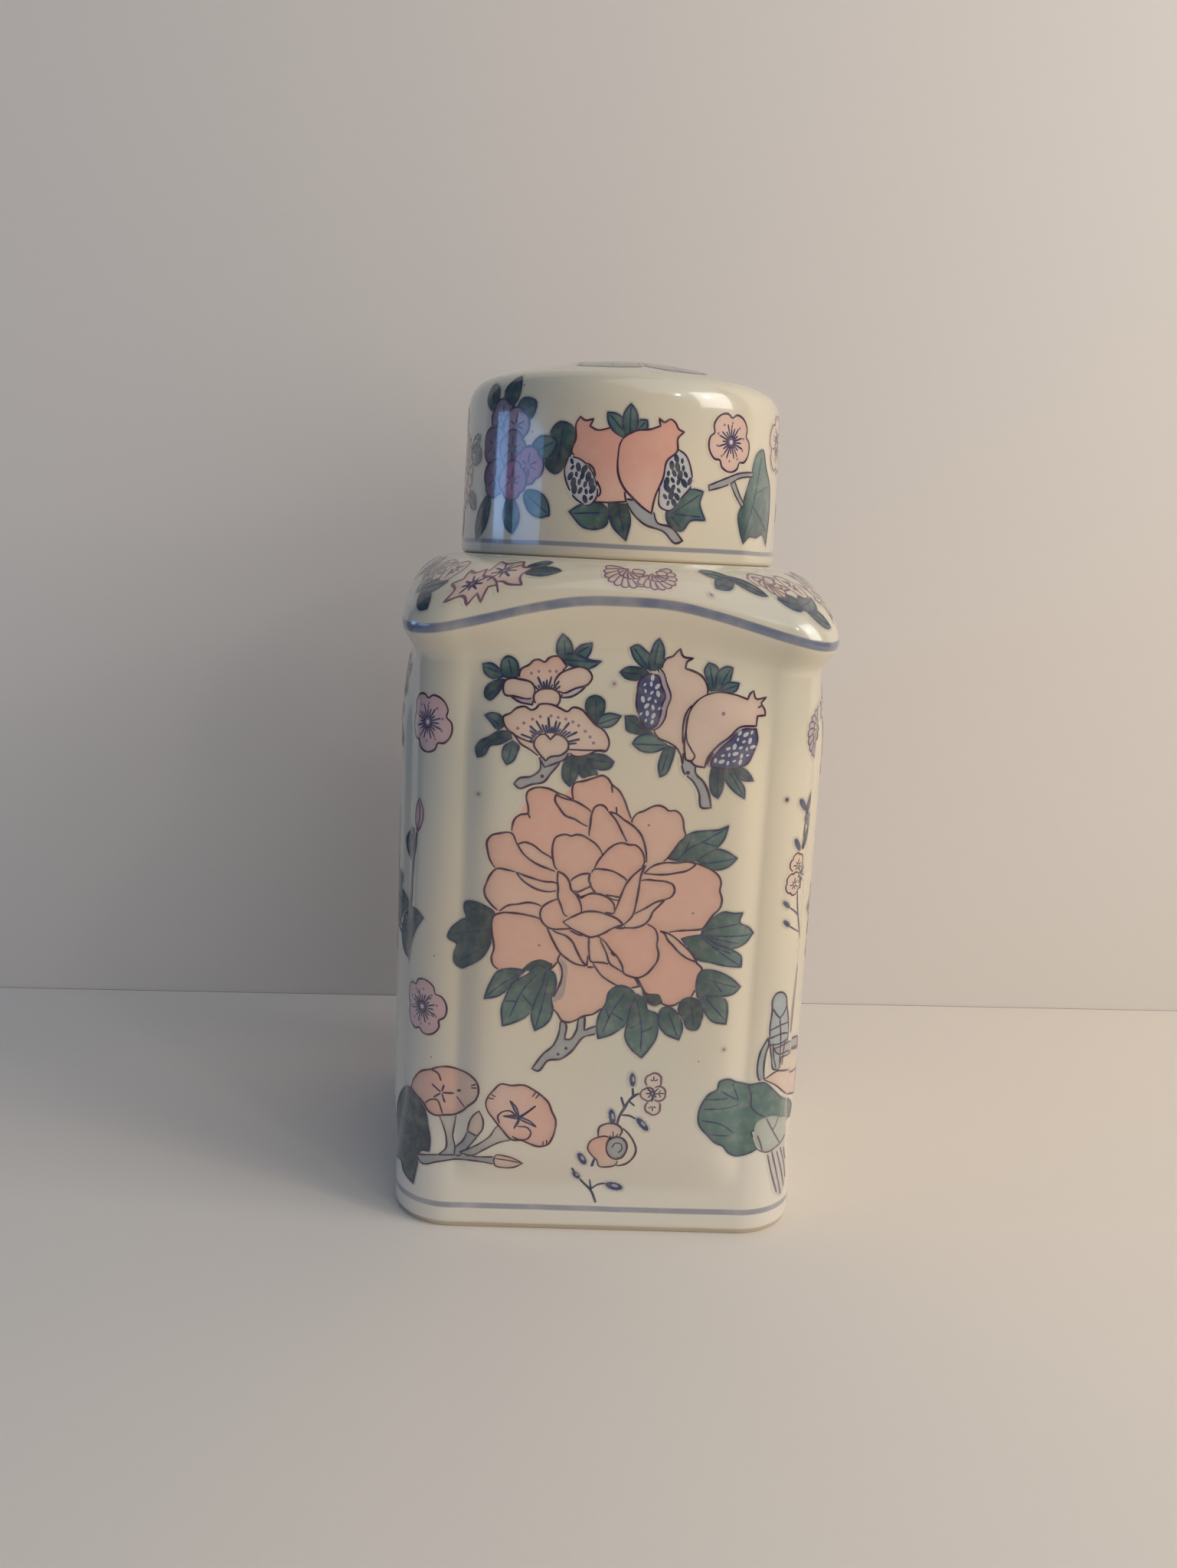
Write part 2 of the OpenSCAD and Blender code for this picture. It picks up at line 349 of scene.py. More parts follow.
def glaze_finish(material, start, place, colour, bare=None):
    """The shader of a fired glaze over that colour: a clear glassy coat with a faint ripple."""
    ripple = noise(start, place, 70.0, 3.0)
    rough = ripple * 0.1 + 0.16
    coat = 0.8
    if bare is not None:
        rough = rough + bare * 0.55
        coat = (1 - bare) * 0.8
    bump = start.node("ShaderNodeBump", {}, {"Strength": 0.06, "Distance": 0.002, "Height": ripple})
    shader = start.node("ShaderNodeBsdfPrincipled", {}, {
        "Base Color": colour, "Roughness": rough, "Coat Weight": coat, "Coat Roughness": 0.05,
        "IOR": 1.5, "Normal": bump})
    start.node("ShaderNodeOutputMaterial", {}, {"Surface": shader})
    return material


def brushed_line(start, place, level, half):
    """How far a thin blue line covers the glaze, brushed round the piece at this height."""
    waver = noise(start, place, 55.0, 1.0) * 0.5 - 0.25
    return abs(height_over_shelf(start, place) - level + waver).ramp(half, half - 0.4) * 0.62


# the height of each line and half its width
foot_line_place = (6.3, 0.95)
rim_line_place = (jar_height + 3.2, 0.75)
jar_glaze, start, place, colour = glaze_parts("cream_glaze_jar")
sway = noise(start, place, 55.0, 1.0) * 0.7 - 0.35
pooled = noise(start, place, 120.0, 2.0).ramp(0.25, 0.6)
past_lip_wire = start.node("ShaderNodeAttribute", {"attribute_name": "past_lip"}, {}, "Fac")
lip_line = abs(past_lip_wire + 0.2 + sway).ramp(1.4, 0.85)
foot_line = brushed_line(start, place, *foot_line_place)
colour = ((lip_line * 0.82 + foot_line) * (0.72 + pooled * 0.28)).blend(colour, brushed_blue)
bare_foot = (height_over_shelf(start, place) + sway).ramp(1.45, 0.95)
colour = bare_foot.blend(colour, bare_clay)
glaze_finish(jar_glaze, start, place, colour, bare_foot)
jar_mesh.materials.append(jar_glaze)
jar = new_object("jar_glazed", jar_mesh)
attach(jar, "jar")
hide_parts("jar")

# The lid
# A turned porcelain cap with slightly tapered sides, a rounded edge and a low dome, hollow under it,
# which drops over the jar's neck and rests on the seat. Its rim carries a thin brushed blue line.
lid_radius = 42.2
lid_height = 50.5
lid_top_radius = 41.4
dome_rise = 8.0
edge_round = 8.0
rim_round = 1.2
lid_inside = 37.6
lid_draft = 0.8
lid_top_wall = 5.5
lid_segments = 216
wheel_radius = 1.0
side_height = lid_height - dome_rise


def dome(x, radius):
    """The height of a shallow cap over its edge, at a distance from its axis."""
    sphere = (radius * radius + dome_rise * dome_rise) / (2 * dome_rise)
    return np.sqrt(sphere * sphere - x * x) - (sphere - dome_rise)


edge_start = side_height - edge_round + dome(lid_top_radius - edge_round, lid_top_radius) * 0.5
dome_start = lid_top_radius - edge_round * 0.7
dome_x = np.linspace(0, dome_start, 27)[:-1]
bend = np.linspace(0, 1, 13)[:, None]
corner = [np.array([dome_start, side_height + dome(dome_start, lid_top_radius)]),
          np.array([lid_top_radius, side_height + dome(lid_top_radius - edge_round / 4, lid_top_radius)]),
          np.array([lid_top_radius, edge_start])]
edge_points = corner[0] * (1 - bend) ** 2 + corner[1] * 2 * bend * (1 - bend) + corner[2] * bend ** 2
climb = np.linspace(1, 0, 22)[1:, None]
side_foot = np.array([lid_radius, rim_round])
side_points = side_foot + climb * (np.array([lid_top_radius, edge_start]) - side_foot)
turn_in = np.radians(np.arange(75, -1, -15))[:, None]
rim_points = side_foot + rim_round * np.hstack([np.sin(turn_in) - 1, -np.cos(turn_in)])
dome_points = np.stack([dome_x, side_height + dome(dome_x, lid_top_radius)], 1)
inner_radius = lid_inside - lid_draft
inner_height = side_height - lid_top_wall
inside_x = np.linspace(inner_radius - edge_round / 2, 0, 12)
inside_points = np.concatenate([
    [[lid_inside + rim_round, 0], [lid_inside + 0.4, 0.35], [lid_inside, rim_round]],
    [[lid_inside - lid_draft / 2, neck_height], [inner_radius, inner_height - edge_round / 2]],
    [[inner_radius - 0.6, inner_height - 1.0]],
    np.stack([inside_x, inner_height + dome(inside_x, inner_radius)], 1),
])
lid_profile = np.concatenate([dome_points, edge_points, side_points, rim_points, inside_points])


def new_tree(name, **inputs):
    """A geometry tree that makes one piece, its start, and the wires of its named inputs."""
    tree = bpy.data.node_groups.new(name, "GeometryNodeTree")
    for label, kind in inputs.items():
        tree.interface.new_socket(label, in_out="INPUT", socket_type="NodeSocket" + kind)
    tree.interface.new_socket("Piece", in_out="OUTPUT", socket_type="NodeSocketGeometry")
    begin = Wire(tree)
    given = begin.node("NodeGroupInput", {}, {}).socket.node
    return tree, begin, [Wire(tree, given.outputs[i]) for i in range(len(inputs))]


def end_tree(begin, made, finish):
    """The tree's last nodes: a real mesh in that finish."""
    made = begin.node("GeometryNodeRealizeInstances", {}, {"Geometry": made})
    made = begin.node("GeometryNodeSetMaterial", {}, {"Geometry": made, "Material": finish})
    begin.node("NodeGroupOutput", {}, {0: made})


lathe, begin, (profile_in, segments_in, finish_in) = new_tree(
    "turn profile on the wheel", Profile="Geometry", Segments="Int", Finish="Material")
outline = begin.node("GeometryNodeMeshToCurve", {}, {"Mesh": profile_in})
wheel = begin.node("GeometryNodeCurvePrimitiveCircle", {},
                   {"Resolution": segments_in, "Radius": wheel_radius * mm})
turned = begin.node("GeometryNodeCurveToMesh", {}, {"Curve": wheel, "Profile Curve": outline})
turned = begin.node("GeometryNodeMergeByDistance", {}, {"Geometry": turned, "Distance": 0.000002})
turned = begin.node("GeometryNodeSetShadeSmooth", {}, {"Geometry": turned})
end_tree(begin, turned, finish_in)


def run_tree(tree, mesh, inputs):
    """The plain mesh that a geometry tree makes of a mesh, with its named inputs set by identifier."""
    holder = new_object("under_way", mesh)
    modifier = holder.modifiers.new("tree", "NODES")
    modifier.node_group = tree
    for item in tree.interface.items_tree:
        if item.in_out == "INPUT" and item.name in inputs:
            modifier[item.identifier] = inputs[item.name]
    evaluated = holder.evaluated_get(bpy.context.evaluated_depsgraph_get())
    made = bpy.data.meshes.new_from_object(evaluated)
    holder.modifiers.clear()
    bpy.data.objects.remove(holder)
    return made


lid_glaze, start, place, colour = glaze_parts("cream_glaze_lid")
colour = brushed_line(start, place, *rim_line_place).blend(colour, brushed_blue)
glaze_finish(lid_glaze, start, place, colour)

profile_mesh = bpy.data.meshes.new("lid_profile")
profile_mesh.from_pydata([(r * mm - wheel_radius * mm, -z * mm, 0) for r, z in lid_profile],
                         [(i, i + 1) for i in range(len(lid_profile) - 1)], [])
lid_mesh = run_tree(lathe, profile_mesh, {"Segments": lid_segments, "Finish": lid_glaze})
lid_mesh.transform(Matrix.Translation((0, 0, jar_height * mm)))
lid = new_object("lid_glazed", lid_mesh)
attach(lid, "lid")
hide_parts("lid")

# The transfers
# The flowers and fruit are coloured transfers under the glaze: purple-brown pen lines with coral, teal
# and blue washes, printed flat, cut out by hand and laid on the raw jar before it is glazed. Each sheet
# is drawn flat in millimetres, s along the face and z up, and then wrapped just over the surface.
paints = {
    "coral": paint(222, 170, 148), "pale coral": paint(223, 177, 154), "warm coral": paint(223, 167, 145),
    "rose": paint(226, 174, 154), "berry": paint(158, 88, 120), "deep coral": paint(222, 159, 139),
    "peach": paint(226, 186, 154), "blush": paint(219, 188, 167), "petal pink": paint(222, 184, 166),
    "leaf": paint(32, 73, 73), "deep leaf": paint(16, 50, 56), "pale leaf": paint(78, 111, 105),
    "lotus leaf": paint(62, 101, 96), "dry leaf": paint(174, 177, 164), "stem": paint(162, 161, 160),
    "pale stem": paint(198, 186, 172), "lilac": paint(176, 158, 168), "mauve": paint(150, 118, 132),
    # petal pink darkened and cooled, as painted shade on the blossoms of each face's left column
    "plum": paint(120, 86, 106), "bud": paint(156, 165, 169), "mauve pink": paint(212, 172, 168),
    "pith": paint(196, 190, 190), "slate": paint(54, 60, 78), "cobalt": paint(54, 62, 104),
    "milk": paint(206, 202, 198), "ink": paint(72, 46, 66), "blue ink": paint(56, 60, 92),
    "faded ink": paint(116, 92, 106),
}
leaf_tips = {"deep leaf": "leaf", "leaf": "pale leaf", "pale leaf": "pale leaf", "lotus leaf": "pale leaf"}
sheet_step = 1.1
pen_step = 0.55
bleed = 0.8
pool_reach = 0.9
line_clearance = 0.4
sheet_lift = 0.05
line_lift = 0.04
seed_gap = 1.5


def through(numbers, closed):
    """A pen stroke through the given points: smooth, but with a corner where it turns sharply."""
    points = np.array(numbers, float).reshape(-1, 2)
    count = len(points)
    ahead_by = np.roll(points, -1, 0) - points
    length = np.maximum(np.linalg.norm(ahead_by, axis=1), 1e-6)
    unit = ahead_by / length[:, None]
    before = np.roll(unit, 1, 0)
    before_length = np.roll(length, 1)
    smooth = (before * length[:, None] + unit * before_length[:, None]) / (length + before_length)[:, None]
    sharp = (before * unit).sum(1) < 0.2
    if not closed:
        sharp[[0, -1]] = True
    leaving = np.where(sharp[:, None], unit, smooth)
    coming = np.where(sharp[:, None], before, smooth)
    path = []
    for i in range(count if closed else count - 1):
        k = (i + 1) % count
        t = np.linspace(0, 1, max(2, math.ceil(length[i] / pen_step) + 1))[:-1, None]
        path.append(points[i] * (1 + 2 * t) * (1 - t) ** 2 + points[k] * t * t * (3 - 2 * t)
                    + leaving[i] * length[i] * t * (1 - t) ** 2 - coming[k] * length[i] * t * t * (1 - t))
    if not closed:
        path.append(points[-1:])
    return np.concatenate(path)


def inside(points, outline):
    """Which of the points lie within a closed outline."""
    x, y = points[:, 0, None], points[:, 1, None]
    x0, y0 = outline.T
    x1, y1 = np.roll(outline, -1, 0).T
    crosses = (y0 > y) != (y1 > y)
    rise = np.where(y1 == y0, 1e-9, y1 - y0)
    return ((crosses & (x < (x1 - x0) * (y - y0) / rise + x0)).sum(1) % 2) == 1


def nearest(points, others):
    """For each point, the distance to the closest of the others and which one that is."""
    tree = KDTree(len(others))
    for i, (x, y) in enumerate(others):
        tree.insert((x, y, 0), i)
    tree.balance()
    found = [tree.find((x, y, 0))[1:] for x, y in points]
    return np.array([gap for _, gap in found]), np.array([which for which, _ in found], int)


class Transfer:
    """One flat sheet: washes and pen lines in the order they are laid, later ones over earlier ones."""

    def __init__(self):
        self.washes = []
        self.strokes = []
        self.sheet = None
        self.heart = (0.0, 0.0)
        self.at = (0.0, 0.0)
        self.flip = 1
        self.size = 1.0

    def shift(self, x, y, flip=1, size=1.0):
        """Where what is drawn next goes: moved, mirrored left to right, or drawn smaller."""
        self.at = (x, y)
        self.flip = flip
        self.size = size

    def put(self, path):
        return path * np.array([self.flip, 1]) * self.size + np.array(self.at)

    def wash(self, colour, *numbers, pen=0.5, pool=0.22, cover=0.94, ink="ink", fade=None, hides=True):
        """A flat colour with its outline; a fade is a second colour and the line it comes in along."""
        path = numbers[0] if isinstance(numbers[0], np.ndarray) else through(numbers, True)
        path = self.put(path)
        area = np.sum(path[:, 0] * np.roll(path[:, 1], -1) - path[:, 1] * np.roll(path[:, 0], -1))
        if area < 0:
            path = path[::-1]
        if fade:
            fade = (fade[0], self.put(np.array([fade[1:3], fade[3:5]])))
        self.washes.append((path, colour, pool, cover, fade, hides))
        if pen:
            self.strokes.append((path, pen, ink, len(self.washes), True))

    def line(self, *numbers, pen=0.42, ink="ink"):
        path = numbers[0] if isinstance(numbers[0], np.ndarray) else through(numbers, False)
        self.strokes.append((self.put(path), pen, ink, len(self.washes), False))

    def dot(self, x, y, radius=0.4, colour="ink", stretch=1.0, lean=0.0):
        angle = np.radians(np.arange(0, 360, 30))
        a, b = radius * stretch * np.cos(angle), radius * np.sin(angle)
        cos, sin = math.cos(math.radians(lean)), math.sin(math.radians(lean))
        self.wash(colour, np.stack([x + a * cos - b * sin, y + a * sin + b * cos], 1), pen=0, pool=0,
                  cover=1.0)

    def leaf(self, tone, *numbers, veins=()):
        """A leaf with its veins, paler at the end farthest from the flower it grows from."""
        fade = None
        if veins:
            near, far = sorted((veins[0][:2], veins[0][-2:]), key=lambda end: math.dist(end, self.heart))
            fade = (leaf_tips[tone], *near, *far)
        self.wash(tone, *numbers, pen=0.46, pool=0.3, ink="blue ink", fade=fade)
        for vein in veins:
            self.line(*vein, pen=0.36, ink="blue ink")

    def flat_washes(self):
        """The washes as one flat layer without overlaps, each with a soft bleed past its outline."""
        outlines = [path for path, *_ in self.washes]
        grown = []
        for path in outlines:
            tangent = np.roll(path, -1, 0) - np.roll(path, 1, 0)
            out = np.stack([tangent[:, 1], -tangent[:, 0]], 1)
            grown.append(path + bleed * out / np.maximum(np.linalg.norm(out, axis=1), 1e-6)[:, None])
        low = np.min([p.min(0) for p in grown], 0)
        high = np.max([p.max(0) for p in grown], 0)
        steps = [np.arange(low[i], high[i], sheet_step) for i in (0, 1)]
        across, up_by = np.meshgrid(*steps)
        across = across + (np.arange(len(across)) % 2)[:, None] * sheet_step / 2 + 0.011 * up_by
        places = np.concatenate(outlines + grown + [np.stack([across.ravel(), up_by.ravel()], 1)])
        edges = []
        for path in outlines:
            begun = len(edges)
            edges += [(begun + i, begun + (i + 1) % len(path)) for i in range(len(path))]
        points, _, triangles, *_ = delaunay_2d_cdt([Vector(p) for p in places], edges, [], 0, 1e-4, False)
        points, corners = np.array(points), np.array(triangles)
        middles = points[corners].mean(1)
        owner = np.full(len(corners), -1)
        for k, path in enumerate(outlines):
            close = np.nonzero(((middles > path.min(0)) & (middles < path.max(0))).all(1))[0]
            owner[close[inside(middles[close], path)]] = k
        kept = owner >= 0
        kept[~kept] = nearest(middles[~kept], np.concatenate(outlines))[0] < bleed
        corners, owner = corners[kept], owner[kept]
        colours = np.zeros((len(corners), 3, 4))
        bled = owner < 0
        maker = np.repeat(np.arange(len(outlines)), [len(p) for p in outlines])
        gap, which = nearest(points[corners[bled]].reshape(-1, 2), np.concatenate(outlines))
        tints = np.array([paints[self.washes[k][1]] for k in maker[which]])
        tints[:, 3] = 0.5 * np.clip(1 - gap / bleed, 0, 1)
        colours[bled] = tints.reshape(-1, 3, 4)
        for k, (path, colour, pool, cover, fade, _) in enumerate(self.washes):
            mine = owner == k
            if not mine.any():
                continue
            spots = points[corners[mine]].reshape(-1, 2)
            gap, _ = nearest(spots, path)
            tint = np.tile(paints[colour], (len(gap), 1))
            if fade:
                line = fade[1][1] - fade[1][0]
                share = ease((spots - fade[1][0]) @ line / (line @ line))[:, None]
                tint = tint * (1 - share) + np.array(paints[fade[0]]) * share
            tint[:, :3] *= (1 - pool * np.exp(-gap / pool_reach))[:, None]
            tint[:, 3] = cover
            colours[mine] = tint.reshape(-1, 3, 4)
        used, index = np.unique(corners, return_inverse=True)
        return points[used], index.reshape(-1, 3).tolist(), colours.reshape(-1, 4)

    def flat_lines(self):
        """The pen lines as thin ribbons, cut where a later wash covers them."""
        points, faces, tints = [], [], []
        for path, pen, ink, order, closed in self.strokes:
            hidden = np.zeros(len(path), bool)
            low, high = path.min(0), path.max(0)
            for over, *_, hides in self.washes[order:]:
                if not hides or (over.min(0) > high).any() or (over.max(0) < low).any():
                    continue
                hidden |= inside(path, over)
                hidden |= nearest(path, over)[0] < line_clearance
            if closed and hidden.any():
                first = int(np.argmax(hidden))
                path, hidden = np.roll(path, -first, 0), np.roll(hidden, -first)
            if closed and not hidden.any():
                path, hidden = np.concatenate([path, path[:1]]), np.append(hidden, False)
            for run in np.split(np.arange(len(path)), np.nonzero(np.diff(hidden))[0] + 1):
                if len(run) > 1 and not hidden[run[0]]:
                    meeting = path[max(run[0] - 1, 0):run[-1] + 2]
                    ribbon(meeting, pen, paints[ink], points, faces, tints)
        return np.array(points), faces, np.repeat(np.array(tints), 4, 0)

    def flat_mesh(self):
        """Washes with the lines a little above them, and the flat drawing itself as the map for baking."""
        if self.sheet:
            return self.sheet
        wash_points, wash_faces, wash_tints = self.flat_washes()
        line_points, line_faces, line_tints = self.flat_lines()
        points = np.concatenate([wash_points, line_points])
        lift = np.append(np.zeros(len(wash_points)), np.full(len(line_points), line_lift))
        line_faces = [[k + len(wash_points) for k in face] for face in line_faces]
        mesh = bpy.data.meshes.new("flat_sheet")
        mesh.from_pydata((np.column_stack([points, lift]) * mm).tolist(), [], wash_faces + line_faces)
        layer = mesh.color_attributes.new("tint", "FLOAT_COLOR", "CORNER")
        layer.data.foreach_set("color", np.concatenate([wash_tints, line_tints]).astype(np.float32).ravel())
        low = points.min(0)
        share = (points - low) / (points.max(0) - low).max() * 0.98 + 0.01
        corner_points = np.array([loop.vertex_index for loop in mesh.loops])
        baking = mesh.uv_layers.new(name="OFBake")
        baking.uv.foreach_set("vector", share[corner_points].astype(np.float32).ravel())
        self.sheet = mesh
        return mesh


def ribbon(path, pen, tint, points, faces, tints):
    """One pen line, drawn with a little more pressure in its middle."""
    tangent = np.gradient(path, axis=0)
    tangent /= np.maximum(np.linalg.norm(tangent, axis=1), 1e-6)[:, None]
    side = np.stack([-tangent[:, 1], tangent[:, 0]], 1)
    share = np.linspace(0, 1, len(path))
    press = 0.55 + 0.45 * np.minimum(1, 6 * np.minimum(share, 1 - share) + 0.25)
    press = press * (1 + 0.12 * np.sin(path[:, 0] * 1.3 + path[:, 1] * 0.9))
    edge = side * (press * pen / 2)[:, None]
    base = len(points)
    for here, out in zip(path, edge):
        points.append(here - out)
        points.append(here + out)
    for k in range(base, base + 2 * len(path) - 2, 2):
        faces.append([k, k + 2, k + 3, k + 1])
        tints.append(tint)


def ground_sheet(name, rows, wrap):
    """A helper surface that transfers are laid on: rows of points with their flat places beside them."""
    mesh = grid_mesh(name, rows, False)
    outward = np.array([v.normal for v in mesh.vertices], np.float32)
    flat_places = np.concatenate([wrap.reshape(-1, 2) * mm, np.zeros((len(outward), 1))], 1)
    for label, values in (("wrap", flat_places), ("out", outward)):
        layer = mesh.attributes.new(label, "FLOAT_VECTOR", "POINT")
        layer.data.foreach_set("vector", np.asarray(values, np.float32).ravel())
    return new_object(name, mesh)


# the front face with the faces beside it, from ring places that run all round
around = np.concatenate([np.arange(3 * per_face, 4 * per_face), np.arange(0, 2 * per_face)])
face_s = np.concatenate([along - 2 * reach, along, along + 2 * reach])
wall_rows = np.array(body_rings + flare_rings[1:])[:, around]
wall_wrap = np.stack([np.broadcast_to(face_s, wall_rows.shape[:2]), wall_rows[:, :, 2]], -1)
wall_ground = ground_sheet("wall_ground", wall_rows, wall_wrap)

lay, begin, (sheet_in, ground_in, lift_in, turn_wire, finish_in) = new_tree(
    "lay transfer on the glaze", Sheet="Geometry", Ground="Object", Lift="Float", Turn="Float",
    Finish="Material")
flat_place = begin.node("GeometryNodeInputPosition", {}, {})
ground_in = begin.node("GeometryNodeObjectInfo", {}, {"Object": ground_in}, "Geometry")


def stored(name):
    return begin.node("GeometryNodeInputNamedAttribute", {"data_type": "FLOAT_VECTOR"}, {"Name": name})


def found_on_ground(value, out):
    return begin.node("GeometryNodeSampleUVSurface", {"data_type": "FLOAT_VECTOR"}, {
        "Mesh": ground_in, "Value": value, "Source UV Map": stored("wrap"), "Sample UV": flat_place}, out)


surface = found_on_ground(begin.node("GeometryNodeInputPosition", {}, {}), "Value")
outward = found_on_ground(stored("out"), "Value")
on_ground = found_on_ground(stored("out"), "Is Valid")
missing = begin.node("FunctionNodeBooleanMath", {"operation": "NOT"}, {"Boolean": on_ground})
laid = begin.node("GeometryNodeDeleteGeometry", {}, {"Geometry": sheet_in, "Selection": missing})
proud = lift_in + begin.node("ShaderNodeSeparateXYZ", {}, {"Vector": flat_place}, "Z")
raised = begin.node("ShaderNodeVectorMath", {"operation": "SCALE"}, {"Vector": outward, "Scale": proud})
raised = begin.node("ShaderNodeVectorMath", {"operation": "ADD"}, {"Vector": surface, "Vector_001": raised})
facing, raised = [begin.node("ShaderNodeVectorRotate", {"rotation_type": "Z_AXIS"},
                             {"Vector": v, "Angle": turn_wire}) for v in (outward, raised)]
laid = begin.node("GeometryNodeStoreNamedAttribute", {"data_type": "FLOAT_VECTOR"},
                  {"Geometry": laid, "Name": "facing", "Value": facing})
laid = begin.node("GeometryNodeSetPosition", {}, {"Geometry": laid, "Position": raised})
laid = begin.node("GeometryNodeSetShadeSmooth", {}, {"Geometry": laid})
laid = begin.node("GeometryNodeSetMeshNormal", {"mode": "FREE"},
                  {"Mesh": laid, "Custom Normal": stored("facing")})
laid = begin.node("GeometryNodeRemoveAttribute", {}, {"Geometry": laid, "Name": "facing"})
end_tree(begin, laid, finish_in)


def transfer_glaze(name):
    """The glaze again, with the sheet's own tint in it where the sheet is covered."""
    material, start, place, colour = glaze_parts(name)
    lines = brushed_line(start, place, *foot_line_place) + brushed_line(start, place, *rim_line_place)
    colour = lines.blend(colour, brushed_blue)
    tint = start.node("ShaderNodeAttribute", {"attribute_name": "tint"}, {}, "Color")
    cover = start.node("ShaderNodeAttribute", {"attribute_name": "tint"}, {}, "Alpha")
    cover = cover * (noise(start, place, 330.0, 3.0).ramp(0.25, 0.6) * 0.12 + 0.88)
    return glaze_finish(material, start, place, cover.blend(colour, tint))


face_glaze = transfer_glaze("transfer_under_glaze")


def lay_transfer(name, art, ground, turn, body):
    """One piece: a sheet wrapped over a helper surface and turned to its side, riding on a body."""
    made = run_tree(lay, art.flat_mesh(), {
        "Ground": ground, "Lift": sheet_lift * mm, "Turn": math.radians(turn), "Finish": face_glaze})
    made.name = name
    piece = new_object(name, made)
    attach(piece, body)


def seeds(art, *numbers, lean=60, ground="cobalt", mark="pith", size=0.36):
    """An opened fruit: a cut face crowded with seeds, drawn as marks on a ground."""
    art.wash(ground, *numbers, pen=0.42, pool=0.15)
    outline = through(numbers, True)
    low, high = outline.min(0), outline.max(0)
    across, up_by = np.meshgrid(np.arange(low[0], high[0], seed_gap),
                                np.arange(low[1], high[1], 1.15 * seed_gap))
    across = across + (np.arange(len(across)) % 2)[:, None] * seed_gap / 2
    spots = np.stack([across.ravel(), up_by.ravel()], 1)
    spots = spots[inside(spots, outline) & (nearest(spots, outline)[0] > 0.7)]
    for x, y in spots:
        grown = size * (1 + 0.3 * math.sin(3 * x + y))
        tilt = lean + 30 * math.sin(2 * x + 3 * y)
        art.dot(x + 0.3 * math.sin(5 * y), y + 0.3 * math.sin(7 * x), grown, mark, 1.7, tilt)


def rays(art, x, y, start_angle, end_angle, count, inner, outer, squash=1.0, pen=0.4):
    """Short strokes fanned round a point, such as stamens."""
    for i in range(count):
        angle = math.radians(start_angle + (end_angle - start_angle) * i / (count - 1))
        tip = outer * (1 + 0.22 * math.sin(2.4 * i))
        art.line(x + inner * math.cos(angle), y + squash * inner * math.sin(angle),
                 x + tip * math.cos(angle), y + squash * tip * math.sin(angle), pen=pen, ink="blue ink")


